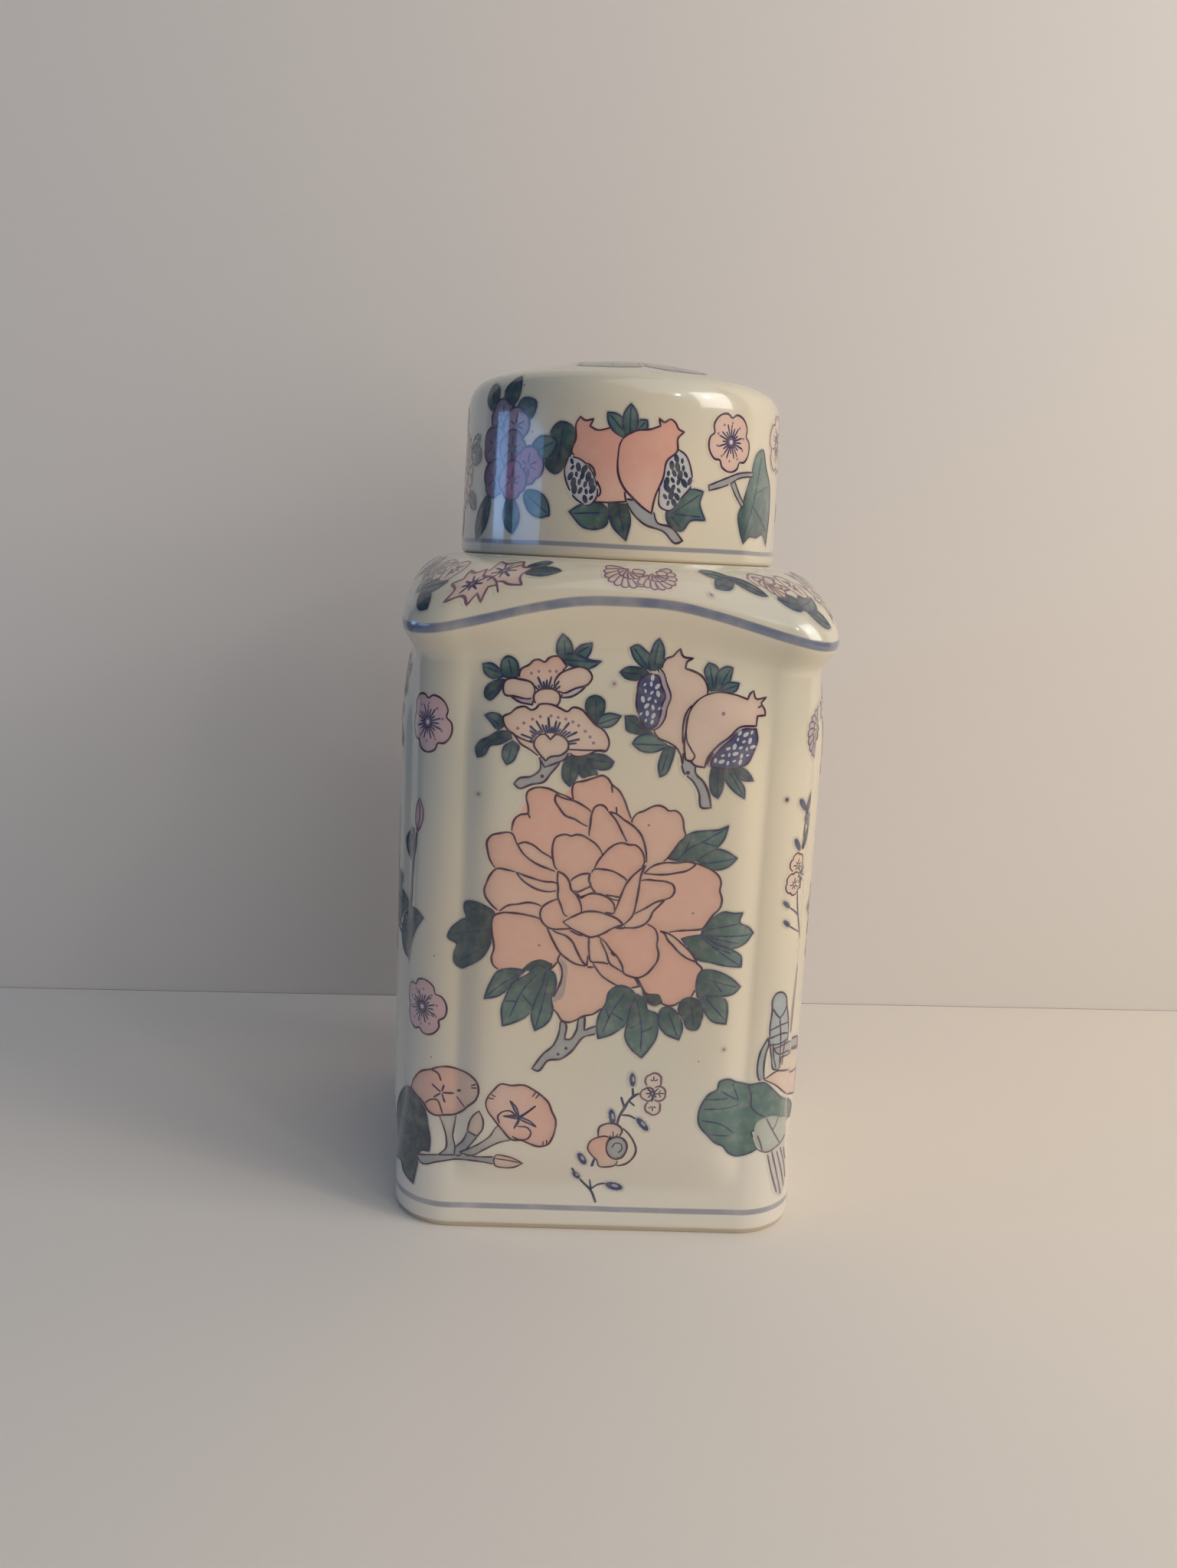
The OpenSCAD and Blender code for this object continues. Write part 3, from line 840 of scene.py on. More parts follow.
def peony(art):
    art.heart = (0, 85)
    leaf, deep, c, pale, warm = "leaf", "deep leaf", "coral", "pale coral", "warm coral"
    art.wash(c, -10, 117, -4, 119, 0, 115.5, 4, 109, 10, 112, 16, 109, 17, 105, 20, 98.5, 25.5, 95,
             26.5, 89, 22.5, 82.5, 18, 78, 22.5, 72, 20, 65, 13, 63.5, 8.5, 67, 3.5, 66.5, -1.5, 61.5,
             -9, 57.5, -13, 61, -11.5, 67, -12.5, 72.5, -17, 70.5, -26, 70.5, -28, 79.5, -28, 83.5, -30, 90,
             -27.5, 95.2, -30, 101.5, -24.8, 103.8, -23.5, 107.5, -21, 112.5, -17.5, 115, -13, 113.8, pen=0,
             pool=0)
    art.leaf(leaf, 12.5, 99.5, 14, 102, 16, 104.5, 18.5, 106, 21.5, 106.6, 25, 107, 27.2, 108, 26.5, 105,
             25, 102.7, 20, 99,
             veins=[(15.5, 99.2, 18, 102, 21.5, 104, 27, 107.5), (17, 101, 18.5, 105),
                    (21, 103.8, 25, 102.8)])
    art.leaf(leaf, 20, 99, 22.5, 101, 25, 102.2, 27.5, 101.5, 29.9, 100, 28, 98, 25, 97, 23, 97,
             veins=[(21, 98.5, 25, 99, 29.5, 100)])
    art.leaf(deep, -35.5, 85.5, -33, 86.3, -30, 85.5, -28.3, 84.5, -28.5, 80, -28.8, 76.5, -30.5, 73,
             -34, 70, -36, 68.8, -37.5, 69.8, -37.8, 72.5, -37.2, 74.8, -39.5, 76.3, -38.8, 78.5,
             -36.5, 80.8, -35, 81.8, -35.6, 83.8,
             veins=[(-29, 80, -38.5, 77), (-29, 76.5, -36.5, 70.5), (-29, 83, -35, 85)])
    art.leaf(leaf, 23, 82.5, 25, 85, 27.5, 86.5, 30, 86.2, 32.4, 86.1, 31.7, 84, 34.5, 82, 35.7, 80.5,
             34, 78.5, 30, 77.2, 26, 78.5, 22.5, 81,
             veins=[(22.5, 80.5, 35, 80.2), (24, 82, 31.5, 83.5), (25, 80, 32, 78.3)])
    art.leaf(leaf, 17.5, 79.5, 20, 80.2, 22.5, 80.5, 26, 78.5, 30.5, 76.7, 32.7, 75, 33, 72.2, 29.5, 72.7,
             25, 73.7, 21.5, 74.5, 19.5, 77, veins=[(22.5, 80, 27, 76.5, 32.5, 72.7), (25, 77.8, 30, 76)])
    art.wash("stem", -11, 57.2, -11.2, 54.5, -12.5, 51, -15, 48.5, -17.5, 44.7, -16.2, 44.1, -13.5, 47,
             -10.5, 47.5, -8, 49.5, -5, 53.5, -2, 54.7, -2, 56.5, -5, 55.2, -5, 58.5, -6.2, 58.2, -7, 55,
             -8.5, 52.7, -9.7, 52.7, -10, 57)
    art.dot(-11.2, 48.7)
    art.dot(-9.3, 50.3)
    art.wash(c, -10.3, 112.8, -10.2, 117, -8, 117.6, -5.5, 118.5, -3.5, 119.1, -2.3, 118.4, -1.3, 117,
             0.3, 115.8, 1.8, 113.5, 2.8, 111, 3.9, 108.5, 0, 106, -6, 108)
    art.line(-1.4, 117, -1.1, 115)
    art.wash(warm, -15, 114.9, -17.5, 115.6, -20, 115.3, -21.3, 114.4, -21.5, 112.8, -21, 110.8, -21, 109.2,
             -22.7, 108.8, -24, 107.8, -24.6, 106, -24.6, 103.8, -24.2, 102.3, -22.8, 101.3, -18, 98,
             -13, 98, -6, 104, -6, 107, -11, 110)
    art.line(-21, 109.2, -20.4, 108)
    art.line(-15, 114.8, -13, 114.1, -10.2, 113)
    art.wash(c, -14.5, 114, -12.5, 113.2, -10.2, 112.7, -8, 111.7, -6, 110.2, -6.2, 106.4, -8, 107.2,
             -9.7, 108.2, -12, 109, -13.7, 111, -14.7, 112.7)
    art.wash(pale, 3.9, 108.4, 5, 110.2, 6.8, 111, 8.5, 112, 10, 112.4, 11.5, 112, 12.6, 111.2, 14.2, 111.3,
             15.5, 110.4, 16.2, 109, 16.5, 107, 17, 105.2, 15.5, 103.4, 14, 101, 12.4, 99, 10, 97.5,
             8, 96.5, 7.7, 101, 6.3, 105.2)
    art.wash(c, -6.2, 104.7, -6, 107, -5.7, 110, -5, 111.5, -3.7, 112, -2.7, 111.6, -1.7, 110.2,
             -0.5, 108.7, 1, 106.5, 2.2, 104.5, 3.2, 102.7, -1, 100, -6, 103)
    art.wash(c, -1.7, 110.4, 0, 110, 2, 108.6, 4.5, 107, 6.2, 105.2, 7.2, 103, 7.7, 101, 8, 98.5, 6, 98,
             3.2, 102.8, 1.8, 105.3, 0, 108.5)
    art.line(0, 111.7, 0.2, 109.7)
    art.wash(c, -24.8, 104.2, -27.5, 104, -29.5, 103.3, -30.5, 101.8, -30.3, 99.5, -29.5, 97, -28, 95.2,
             -25.5, 95, -23.3, 94.5, -20, 93.5, -16.5, 92.6, -13.3, 92, -13, 94.8, -15, 95.6, -17.6, 96.5,
             -20, 97.8, -22, 99.6, -23.2, 101.4)
    art.wash(pale, -23.2, 101.5, -21.5, 102.1, -19.5, 101.5, -17.3, 99.9, -14.8, 98.3, -13.8, 96.3,
             -13, 94.8, -15, 95.6, -17.6, 96.5, -20, 97.8, -22, 99.6)
    art.wash(pale, -28, 95.2, -29.5, 93.5, -30.3, 91.5, -30.8, 89.8, -30.5, 88.2, -29.5, 86.8, -28.2, 85.5,
             -27, 84.7, -20, 85, -13, 88.5, -13, 91, -13.3, 92, -18, 92, -23, 94.5, -25.5, 95.1)
    art.wash(pale, -23.3, 94.6, -22, 93, -20, 91.5, -17.5, 90.4, -15, 90.1, -13, 90.5, -13.3, 92.1,
             -16.5, 92.6, -20, 93.5)
    art.wash(pale, -27, 84.7, -25, 86.2, -22.5, 86.7, -20, 87.2, -18, 86.9, -16.6, 86.1, -17, 84.7,
             -17.1, 83.2, -20, 84, -23, 84.5, -25.7, 84.5)
    art.wash(c, -28.2, 83.5, -26.4, 84.3, -23.5, 84.4, -20, 84, -17.2, 83.2, -15, 80.3, -13.4, 77.5,
             -11.6, 74.8, -12.2, 73, -13.6, 71, -17, 69.8, -20.5, 69.5, -23.5, 69.5, -26.3, 69.8, -28, 71,
             -28.5, 72.8, -28, 75, -28.6, 79.5, -28.7, 81.5)
    art.wash(c, 7.8, 96.4, 9.6, 97.5, 12.5, 98.4, 15.5, 98.5, 18, 98.8, 20, 98.5, 22, 97.8, 24.2, 96.8,
             25.8, 95.4, 26.4, 93.8, 26.2, 92, 26.9, 89.5, 26.5, 87.5, 25, 85.8, 23.8, 84, 22.5, 82.2,
             20.5, 81.8, 18, 81.6, 15.5, 81.3, 13.5, 80.9, 11.5, 81.7, 8.5, 83.2, 7, 88, 7, 95)
    art.wash(pale, 7.5, 95.6, 10, 95.4, 13, 95.5, 15.5, 96, 17.6, 96.5, 19.6, 97.9, 20, 98.5, 18, 98.8,
             15.5, 98.5, 12.5, 98.4, 9.6, 97.5)
    art.wash(warm, 12, 81.4, 13.3, 80.7, 14.3, 79, 15.5, 77.8, 17, 76.2, 19, 74.7, 21.5, 73.5, 23.1, 72,
             22.8, 70, 22, 68, 21.5, 66, 20.5, 64.4, 18.8, 64, 17, 62.5, 15.5, 62.2, 13, 63, 10.3, 63.2,
             9.8, 64.5, 8.5, 67, 7.4, 69.1, 9.5, 70.3, 11, 72, 12, 73.8, 12.3, 75.5, 11.8, 77.6, 11.8, 80)
    art.wash(pale, 12.2, 81.3, 14.3, 80.7, 16, 79.7, 18, 78, 20, 76.2, 21.8, 73.6, 19, 74.7, 17, 76.2,
             15.5, 77.8, 14.3, 79, 13.3, 80.7)
    art.wash(pale, -11.8, 74.6, -10.5, 73.7, -8, 72.3, -5, 71.5, -3, 71.4, -1.5, 69.5, 1, 67.8, 3.6, 66.7,
             1, 64, 0, 62.6, -1.2, 61, -3, 59.5, -5.5, 58.8, -7.3, 57.7, -9, 57.1, -10.6, 57.5, -11.8, 59.2,
             -13.1, 60.8, -13.3, 62.5, -12.5, 64.5, -11.5, 67, -11.1, 69.5, -11.5, 71.5, -12.3, 73)
    art.wash(c, -4, 72.8, -1, 72.6, 2, 71.5, 4, 70.2, 6.7, 69.1, 8, 67, 5, 66.5, 3.5, 66.7, 1, 67.8,
             -1.5, 69.5, -3, 71.4)
    art.wash(pale, -15.5, 81.5, -13, 80, -10.5, 79.2, -9, 77.7, -7.7, 75.5, -5.7, 72.2, -5.5, 71.7,
             -8, 72.2, -10.5, 73.7, -11.7, 74.7, -13.5, 77.5)
    art.wash(c, -15.5, 81.5, -10.5, 81, -7.5, 79.6, -5.2, 79.1, -5, 77, -5, 74.5, -5.2, 71.8, -5.8, 72.3,
             -7.8, 75.5, -9, 77.8, -10.6, 79.2, -13, 80)
    art.wash(pale, -5, 79, -3, 79.2, -2, 77.6, -1, 76, 0.6, 72.3, -1, 72.7, -3, 72.8, -4, 72.8, -4.8, 75.5)
    art.wash(c, -2.5, 79, -1, 78, 0.5, 75.5, 2.5, 73.5, 3.5, 71.5, 3.7, 70.5, 2, 71.5, 0.5, 72.5, -0.5, 75)
    art.wash(warm, -3, 79.5, -1, 80.5, 0.5, 81.4, 3.5, 81.7, 6.5, 82, 8, 83.1, 9.5, 82.7, 11, 81.7,
             11.7, 80, 11.7, 77.5, 12.2, 75.5, 12, 73.7, 11, 72, 9.5, 70.2, 7.5, 69.2, 5.5, 69.5, 4, 70.2,
             3.5, 72, 2, 74.5, 0.5, 76, -1, 78)
    art.wash(c, -14.5, 98, -14.8, 100, -14.7, 102, -14.2, 103.5, -13, 104.2, -11.5, 104.4, -10.5, 104.1,
             -9.2, 104.5, -7.7, 104.3, -6, 103.4, -4.5, 102.4, -3.3, 101, -2.7, 99.7, -4.5, 96.2, -6, 95,
             -10, 93.2, -12, 95, -13.8, 96)
    art.wash(warm, -4.7, 95.8, -3.7, 98.2, -2.4, 100, -1, 101.6, 0.5, 102.6, 2, 102.9, 3.6, 102.5, 5, 102.5,
             6.2, 101.7, 7.2, 100, 7.4, 98, 5.5, 96, 3.7, 93.8)
    art.wash(c, -4.7, 96, -2.5, 96.2, 0, 95.8, 2, 94.8, 3.4, 93.6, 2.8, 92, 1.8, 89.5, 0, 89.7, -2, 89.9,
             -3.8, 90.3, -5.2, 92, -5.7, 93.4, -5.3, 94.8)
    art.wash(pale, -10, 93, -9, 94, -7, 94.9, -5.5, 95, -5.7, 93.4, -5.2, 92, -6.5, 91.2, -8.2, 90.4,
             -9.4, 90.7, -10, 92)
    art.wash(c, -7.7, 89, -5, 90, -3, 90, -1, 89.2, 0.7, 87.5, 0.7, 85.2, -4, 85.6, -7, 85, -7.1, 87)
    art.line(-8.5, 90.2, -7.4, 88.8, -5, 90.2, -3.8, 90.4)
    art.line(-1.5, 89.8, 0.3, 88.8, 1.6, 88.6)
    art.wash(c, -13, 88.4, -15, 87.5, -16.6, 86.2, -17.1, 84.7, -16.8, 83, -15.3, 81.3, -9.5, 81,
             -11.4, 82.7, -10.8, 84.2, -12.2, 86.8)
    art.wash(c, -13.2, 95.3, -11.6, 94.4, -10.3, 92.6, -9.9, 91, -8.5, 89.5, -7.5, 87.6, -7.2, 85.2,
             -10, 84, -10.8, 84.2, -12.2, 86.9, -13, 89, -13, 91, -13.3, 93.8)
    art.wash(c, 6.5, 93.5, 8, 94, 10.5, 93.9, 13, 93.7, 14.7, 93, 15.2, 91.5, 14.5, 90, 12.5, 89.1, 10, 88,
             8, 86.5, 6.7, 85.5, 5.5, 85.2, 6, 88, 6.6, 92)
    art.wash(pale, 5.5, 85.1, 8.5, 87, 11, 88.6, 13, 89.2, 11.5, 87.5, 10.2, 86, 9.5, 84.2, 8.5, 83,
             6.5, 82, 3.5, 81.8, 3.5, 82.7, 4.5, 84)
    art.wash(c, 7.8, 97.6, 6.2, 96.2, 4.8, 94.8, 3.5, 93, 2.3, 90, 1.5, 87.4, 0.8, 84.8, 3.4, 82.6,
             5.3, 84.9, 6, 88, 6.5, 92, 6.9, 95.3)
    art.wash(pale, -11.5, 82.7, -9, 84.2, -6, 85.5, -3.7, 85.6, -1, 85, 2, 83.7, 3.2, 82.5, 0.5, 81.5,
             -1, 80.5, -3, 79.5, -4.5, 79.1, -7, 80, -9.5, 81.2)
    art.wash("plum", -13.4, 62, -11.6, 67, -11.2, 70, -11.8, 73.5, -10.4, 72.5, -10, 68, -11.2, 63, pen=0,
             pool=0, cover=0.55, hides=False)
    art.wash(deep, -21, 70.2, -19, 72.2, -16.5, 73, -13.5, 72, -14, 69.5, -17, 69.5, pen=0, pool=0,
             hides=False)
    art.wash(deep, 8.6, 66.5, 10, 65.4, 13, 65, 14, 63, 12, 62, 9.4, 63.4, pen=0, pool=0, hides=False)
    art.leaf(leaf, -20, 70, -22, 70.3, -26.7, 69.5, -28.5, 66.5, -29.9, 62.2, -26, 63.5, -24.8, 64.5,
             -23, 67, veins=[(-21, 69.5, -26, 66, -29.3, 63)])
    art.leaf(leaf, -19, 69.5, -23, 66.7, -24.5, 63.5, -25.5, 60.5, -25.2, 55.5, -22, 56.7, -19.5, 58.2,
             -17.7, 61, -16.5, 64.5, -15.2, 68, -15.5, 71, -17.5, 71.5,
             veins=[(-23.5, 58, -20.5, 65, -16.5, 70), (-22, 62, -24.8, 62), (-20.8, 64, -18.2, 61)])
    art.leaf(leaf, -15, 70.5, -16, 66, -17.5, 62, -18.2, 58.5, -17.2, 54.7, -15, 56, -13.5, 58, -13, 60.5,
             -13.5, 63, -12.5, 66, -13.5, 70, veins=[(-17, 55.5, -15.5, 62, -14.5, 68)])
    art.leaf(leaf, -1.5, 53.2, -2, 56, -1.5, 59.5, 0, 62.5, 0.7, 65.5, 3, 67, 5.5, 66.5, 7, 65, 6.5, 62,
             5.5, 57.5, 3, 55.2, 1, 54,
             veins=[(-0.5, 55, 2, 61, 4.5, 65), (1, 58.5, 0, 61), (1.5, 60, 4.5, 58)])
    art.leaf(leaf, 5.5, 57.5, 5.2, 53.5, 7, 50.5, 9.5, 48.5, 11, 50.5, 12.7, 53.5, 13.2, 57, 12.7, 60,
             10.2, 61.2, 9.7, 63.5, 7.5, 65, 6.3, 62,
             veins=[(9.2, 50, 9, 57, 7.5, 63.5), (9, 55, 11.8, 56.5), (8.8, 57.5, 6.2, 56)])
    art.leaf(leaf, 13.2, 57.5, 15, 55, 18.5, 53.5, 19.2, 56.5, 18, 60, 16, 61.7, 14.2, 61.7,
             veins=[(18, 54.5, 15.5, 60.5)])
    art.leaf(deep, 18.5, 63.5, 18, 61, 19.5, 58.5, 20.5, 56.5, 22.7, 56.2, 23.7, 58.5, 24.2, 61.5, 22.5, 64,
             20.5, 64.5, veins=[(22, 57, 21, 63)])
    art.leaf(leaf, 22.5, 64, 24.2, 61.2, 26.5, 58.5, 30, 57.7, 30.2, 61, 29.5, 64, 28.2, 65,
             veins=[(24.5, 64.5, 29.5, 59)])
    art.leaf(leaf, 23, 71.5, 25.5, 71.7, 28, 71, 31, 69.2, 33.2, 67, 31.5, 65.5, 28.5, 65, 25, 65,
             22.5, 64.5, 22, 67, veins=[(24, 69.5, 32.5, 67), (26, 69, 28.5, 66)])


def hibiscus(art):
    art.heart = (-16, 132)
    leaf, deep = "leaf", "deep leaf"
    for numbers, tone, vein in [
        ((-15.5, 147, -15.5, 150, -14.2, 152, -12.7, 150.5, -12, 148.5, -12, 146), leaf,
         (-13.7, 146, -14, 150.5)),
        ((-12.5, 147, -10, 149.5, -7.5, 150.2, -7.7, 148.5, -9, 146), leaf, (-12, 147, -8, 149.5)),
        ((-15, 147, -12, 147.5, -8, 146.2, -5.2, 146, -7, 144.7, -8.5, 144, -12, 144.7, -15, 145), leaf,
         (-14, 146, -6, 145.7)),
        ((-33, 144, -31, 144.2, -29, 143, -27.5, 141.5, -30.5, 140.7, -32.5, 142), leaf,
         (-32.5, 143.3, -28.5, 142)),
        ((-28.5, 145, -27.2, 146.1, -25.2, 145.2, -24.5, 143, -24.8, 141.5, -28, 141.5, -28.7, 143.2), leaf,
         (-27, 145.3, -26, 142)),
        ((-27.7, 140.7, -30, 140.2, -32, 138.5, -32.2, 136.5, -31.2, 135.7, -29.5, 137, -28.2, 139), deep,
         (-28, 140, -31.5, 136.5)),
        ((-8.5, 135.5, -8, 137.2, -6, 138, -4.2, 137, -4, 135, -4.5, 133, -6, 131, -7.5, 132.5), deep,
         (-6, 137, -6, 132)),
        ((-5.7, 131, -5, 133, -3, 134, 0, 133.5, -1.5, 131.5, -3.5, 130.6), "pale leaf",
         (-5.5, 131.3, -0.5, 133.2)),
        ((-32, 132, -30.5, 132.7, -28, 132, -27.5, 130, -29, 128.7, -30.5, 130.5), leaf,
         (-31.5, 132, -28.5, 130)),
        ((-34, 124, -33, 125.7, -31, 127, -28.5, 128.5, -26, 128.5, -25.5, 127, -28.5, 125.5, -30.5, 125,
          -32, 122.5, -33.5, 121.9), deep, (-33, 123, -30, 126.3, -26, 127.7)),
        ((-25.2, 126.5, -23.7, 125, -24, 124, -25.2, 121.5, -26.5, 120.7, -27.5, 122.5, -27.2, 125), leaf,
         (-25.3, 126, -26.3, 121.5)),
        ((-8.5, 123.7, -6, 124.2, -3.5, 124, -1.2, 122.5, -2, 121, -4.5, 120.5, -7, 121.5), deep,
         (-8, 123, -2, 122.3)),
        ((-10, 123, -9.5, 120, -8, 118, -5, 117.2, -5, 119.5, -6.5, 121.5, -8, 123.5), deep,
         (-9, 122.5, -5.8, 118)),
        ((-12, 123.5, -13.2, 120.5, -13, 118, -11.2, 116, -10, 118, -9.2, 120.5, -9.5, 123.5), deep,
         (-11, 123, -11.4, 117)),
    ]:
        art.leaf(tone, *numbers, veins=[vein])
    art.wash("stem", -18.7, 122.5, -18.5, 120, -20.5, 118.2, -23.5, 117.5, -24.6, 116.2, -23.5, 115.2,
             -20.5, 116.2, -17.5, 117, -16, 119, -14, 121.5, -16, 123)
    art.dot(-18, 118.3, 0.45)
    b = "blush"
    art.wash(b, -24.2, 141.5, -24, 143.2, -22, 144.5, -21, 145.5, -19.7, 145.7, -18.5, 145.2, -17.5, 146.2,
             -15.5, 146.7, -13.2, 144.5, -14.5, 143, -15.5, 141, -16, 138.5, -20, 138.5, -20.7, 140,
             -23, 140.7, fade=("coral", -18, 139, -18.5, 147))
    art.wash("lilac", -26, 136.8, -24, 135.7, -21, 135.2, -20.5, 137.3)
    art.wash(b, -24.2, 141, -26, 141.1, -27.5, 140.5, -28, 138.5, -27.5, 137.2, -25.5, 137, -21, 137,
             -20.5, 138.5, -21, 140)
    art.wash("pith", -14, 138.4, -14.2, 137.2, -12, 137.5, -10, 138.7, -8, 140.8, -11, 139.7)
    art.wash(b, -16, 140, -15, 142.5, -13, 143.7, -10, 144.5, -8, 143.7, -7.2, 142.2, -8, 140.7, -11, 139.5,
             -14, 138.3)
    rays(art, -17.8, 137.2, 40, 140, 9, 1.9, 4.2, pen=0.5)
    for x, y in [(-21.5, 142.5), (-19.8, 143), (-17.2, 143.2), (-15.7, 143.2)]:
        art.dot(x, y, 0.38, "mauve")
    art.wash(b, -20.7, 137.5, -19.5, 138.7, -17.5, 139.2, -16, 139, -14.7, 138, -14.5, 136.7, -15, 135.5,
             -17, 135, -19.5, 135, -20.5, 136)
    art.wash(b, -27.7, 132, -26, 133, -24.7, 134.2, -22.7, 134.7, -21, 134, -20, 134.5, -19.5, 135.2,
             -17.5, 135.6, -15.5, 135.2, -14, 134.5, -12.7, 134, -11.5, 135, -9.5, 134.7, -7.7, 133,
             -6, 131.2, -4, 130, -2.7, 128, -2.5, 126.5, -3.2, 125, -5, 125, -8, 123.7, -10.5, 123.5,
             -12.5, 124.5, -18.7, 123, -21, 124.5, -23.5, 126, -25, 128, -26.5, 129, -27.5, 130.5)
    art.line(-12.2, 125, -8, 125, -3.5, 125.2)
    art.line(-25.2, 128, -23, 127, -20.5, 126.2)
    rays(art, -16.3, 125.8, 8, 168, 21, 3.2, 6.2, 0.9, pen=0.55)
    for x, y in [(-24.2, 129.5), (-22.8, 130.8), (-20.8, 131.8), (-19, 132.5), (-16.5, 132.8),
                 (-14.8, 132.5), (-13, 132.2), (-11.3, 131.6), (-9.9, 130.8), (-8.3, 129.5), (-7.1, 128.2),
                 (-6.2, 126.8)]:
        art.dot(x, y, 0.4, "mauve")
    art.wash("stem", -18.9, 122.7, -17.5, 120.5, -15, 121.5, -12.5, 123, -12, 124.2, -15, 123.5)
    art.wash(b, -19, 128.1, -20, 127, -20.2, 125.5, -19.3, 124.2, -17.3, 122, -16.6, 122.8, -13.5, 123.7,
             -12.2, 125, -12.1, 126.5, -13, 127.7, -15, 128.5, -16.4, 127.2, -17.8, 128.4)


def pomegranates(art):
    art.heart = (16, 134)
    leaf, deep = "leaf", "deep leaf"
    art.wash("stem", 14.7, 124, 15.7, 120.5, 18, 118.5, 19.5, 116, 20.5, 112.2, 22.7, 112.3, 22, 115.5,
             20.5, 118.5, 18.5, 120.5, 18, 123.5)
    art.dot(16.6, 120.6, 0.5)
    for numbers, tone, vein in [
        ((-0.7, 143.7, 0.5, 144.7, 3, 145, 5.5, 144.5, 7, 143, 3, 142, 0.5, 142.5), deep,
         (0, 143.6, 6, 143.5)),
        ((1.5, 149.5, 3, 150.2, 5, 149, 7, 147, 6.5, 144.2, 4, 145.5, 2.5, 147), leaf,
         (2.3, 149.5, 5.8, 145)),
        ((6.5, 149, 7.2, 151, 8, 151.9, 9.2, 150, 9.5, 147.5, 8.5, 144.7, 6.2, 144.5, 6, 147), leaf,
         (8, 151, 7.3, 145.5)),
        ((19.2, 145, 20.2, 146.7, 22, 146, 23, 144, 22.5, 140.2, 20.5, 140.2, 20, 142.5), leaf,
         (20.5, 146, 21.5, 141)),
        ((22.6, 144.8, 24.7, 146, 26, 145.7, 25.6, 143.2, 24.5, 140.3, 22, 140.2), leaf,
         (25.3, 145.3, 23, 141)),
        ((25, 142.3, 27.7, 142.2, 27, 140.5, 25.5, 139.8, 22.6, 140, 23.5, 141.3), leaf,
         (27.2, 141.7, 23.5, 140.4)),
        ((1, 133.5, 3.5, 133.5, 4.5, 132.5, 7, 130.5, 8, 129.5, 6, 128.7, 3.5, 129.5, 1.5, 130.2, 1.2, 132),
         deep, (1.7, 132.8, 7, 129.6)),
        ((11, 127, 13.3, 126.3, 12.5, 123, 11.2, 120, 10, 119.4, 9.5, 122, 10, 124.5), leaf,
         (11.8, 126, 10.3, 120.3)),
        ((3, 127, 4, 128.5, 6.5, 129.4, 9, 128.7, 11.5, 126.8, 8, 125.2, 5, 125.5), "pale leaf",
         (3.5, 127, 10.5, 127)),
        ((27, 122.7, 30, 122, 31.7, 120.5, 32.6, 119, 30, 119.2, 27, 121), deep, (27.5, 122, 32, 119.4)),
        ((24.7, 122.7, 25.5, 119.5, 28, 116.5, 30.7, 114.7, 30.5, 117, 28.5, 120, 27, 122.5), leaf,
         (26, 122, 30.2, 115.7)),
        ((22.2, 122.4, 22, 119, 23, 115.5, 24.2, 114.7, 25, 116.5, 25.2, 120, 25, 122.6), deep,
         (23.7, 122, 24, 115.8)),
    ]:
        art.leaf(tone, *numbers, veins=[vein])
    art.wash("blush", 10, 147.2, 11.7, 148, 12.5, 149, 13.2, 149.7, 14, 148, 16.5, 147.6, 15, 146.7,
             14.7, 145.2, 16.5, 144.7, 18.5, 143.7, 19.7, 142.2, 20.2, 140, 16, 136, 15.2, 122.5, 14.5, 125,
             13.5, 126.5, 11.5, 127.7, 9, 128.7, 8, 130.5, 9, 131.5, 10, 133.5, 10.5, 136.5, 11.2, 138.5,
             10, 141.5, 9, 144.5, 9.2, 145.5)
    art.wash("lilac", 8.3, 145.2, 9.4, 144.2, 10.4, 141.6, 11.5, 138.4, 10.8, 136, 10.3, 133.2, 8.8, 131,
             7.2, 130.4, 8.7, 134, 9.5, 138, 8.2, 142, pen=0.36)
    seeds(art, 4, 142, 3.5, 139, 3.5, 136, 4.5, 133, 6.5, 130.7, 8.3, 131.5, 9.2, 134, 9.7, 137,
          10.2, 138.2, 9.2, 141, 8.3, 143.2, 6.5, 143.7, lean=75)
    art.wash("lilac", 20.8, 122.2, 21.7, 124.4, 23.5, 127.3, 26.7, 130.2, 28.2, 131.9, 32.6, 132.4,
             32.3, 130.6, 28.5, 129.5, 25, 126, 22.3, 122.2, pen=0.36)
    seeds(art, 28.5, 131.2, 32.5, 131.5, 33, 129, 32.2, 126, 30.5, 123, 28, 122, 24, 122, 22.2, 122.2,
          22, 123.5, 23.5, 126, 26.5, 129.2, lean=50)
    art.wash("blush", 20.5, 139.5, 18, 138, 16.5, 136, 15.7, 133.5, 15.5, 131, 15.5, 125.5, 16, 123.7,
             17, 123.4, 18, 122.5, 20.5, 122, 21, 124, 23, 127, 26.5, 130, 28, 131.7, 32.5, 132.2,
             32.7, 134.5, 34.7, 134.7, 34.5, 136, 33.5, 137.5, 34.7, 139, 32, 138.7, 31.4, 140.5, 30.7, 140,
             30, 138.5, 27, 139.5, 24, 140)
    art.line(15.5, 131, 16, 128, 17.2, 126, 18, 124.5, 17, 123.4, 16, 123.7, 15.5, 125.5)
    art.line(32.7, 136.5, 34, 137.2)
    art.dot(24.2, 135, 0.5, "mauve")


def lobed(x, y, radius, lobes, depth, turn=0.0):
    """The numbers of a blossom's outline: rounded petals with a notch between each two."""
    numbers = []
    for i in range(lobes * 6):
        angle = 2 * math.pi * i / (lobes * 6)
        swell = radius * (1 - depth * (1 - abs(math.sin(lobes / 2 * angle)) ** 0.6))
        numbers += [x + swell * math.cos(angle + turn), y + swell * math.sin(angle + turn)]
    return numbers


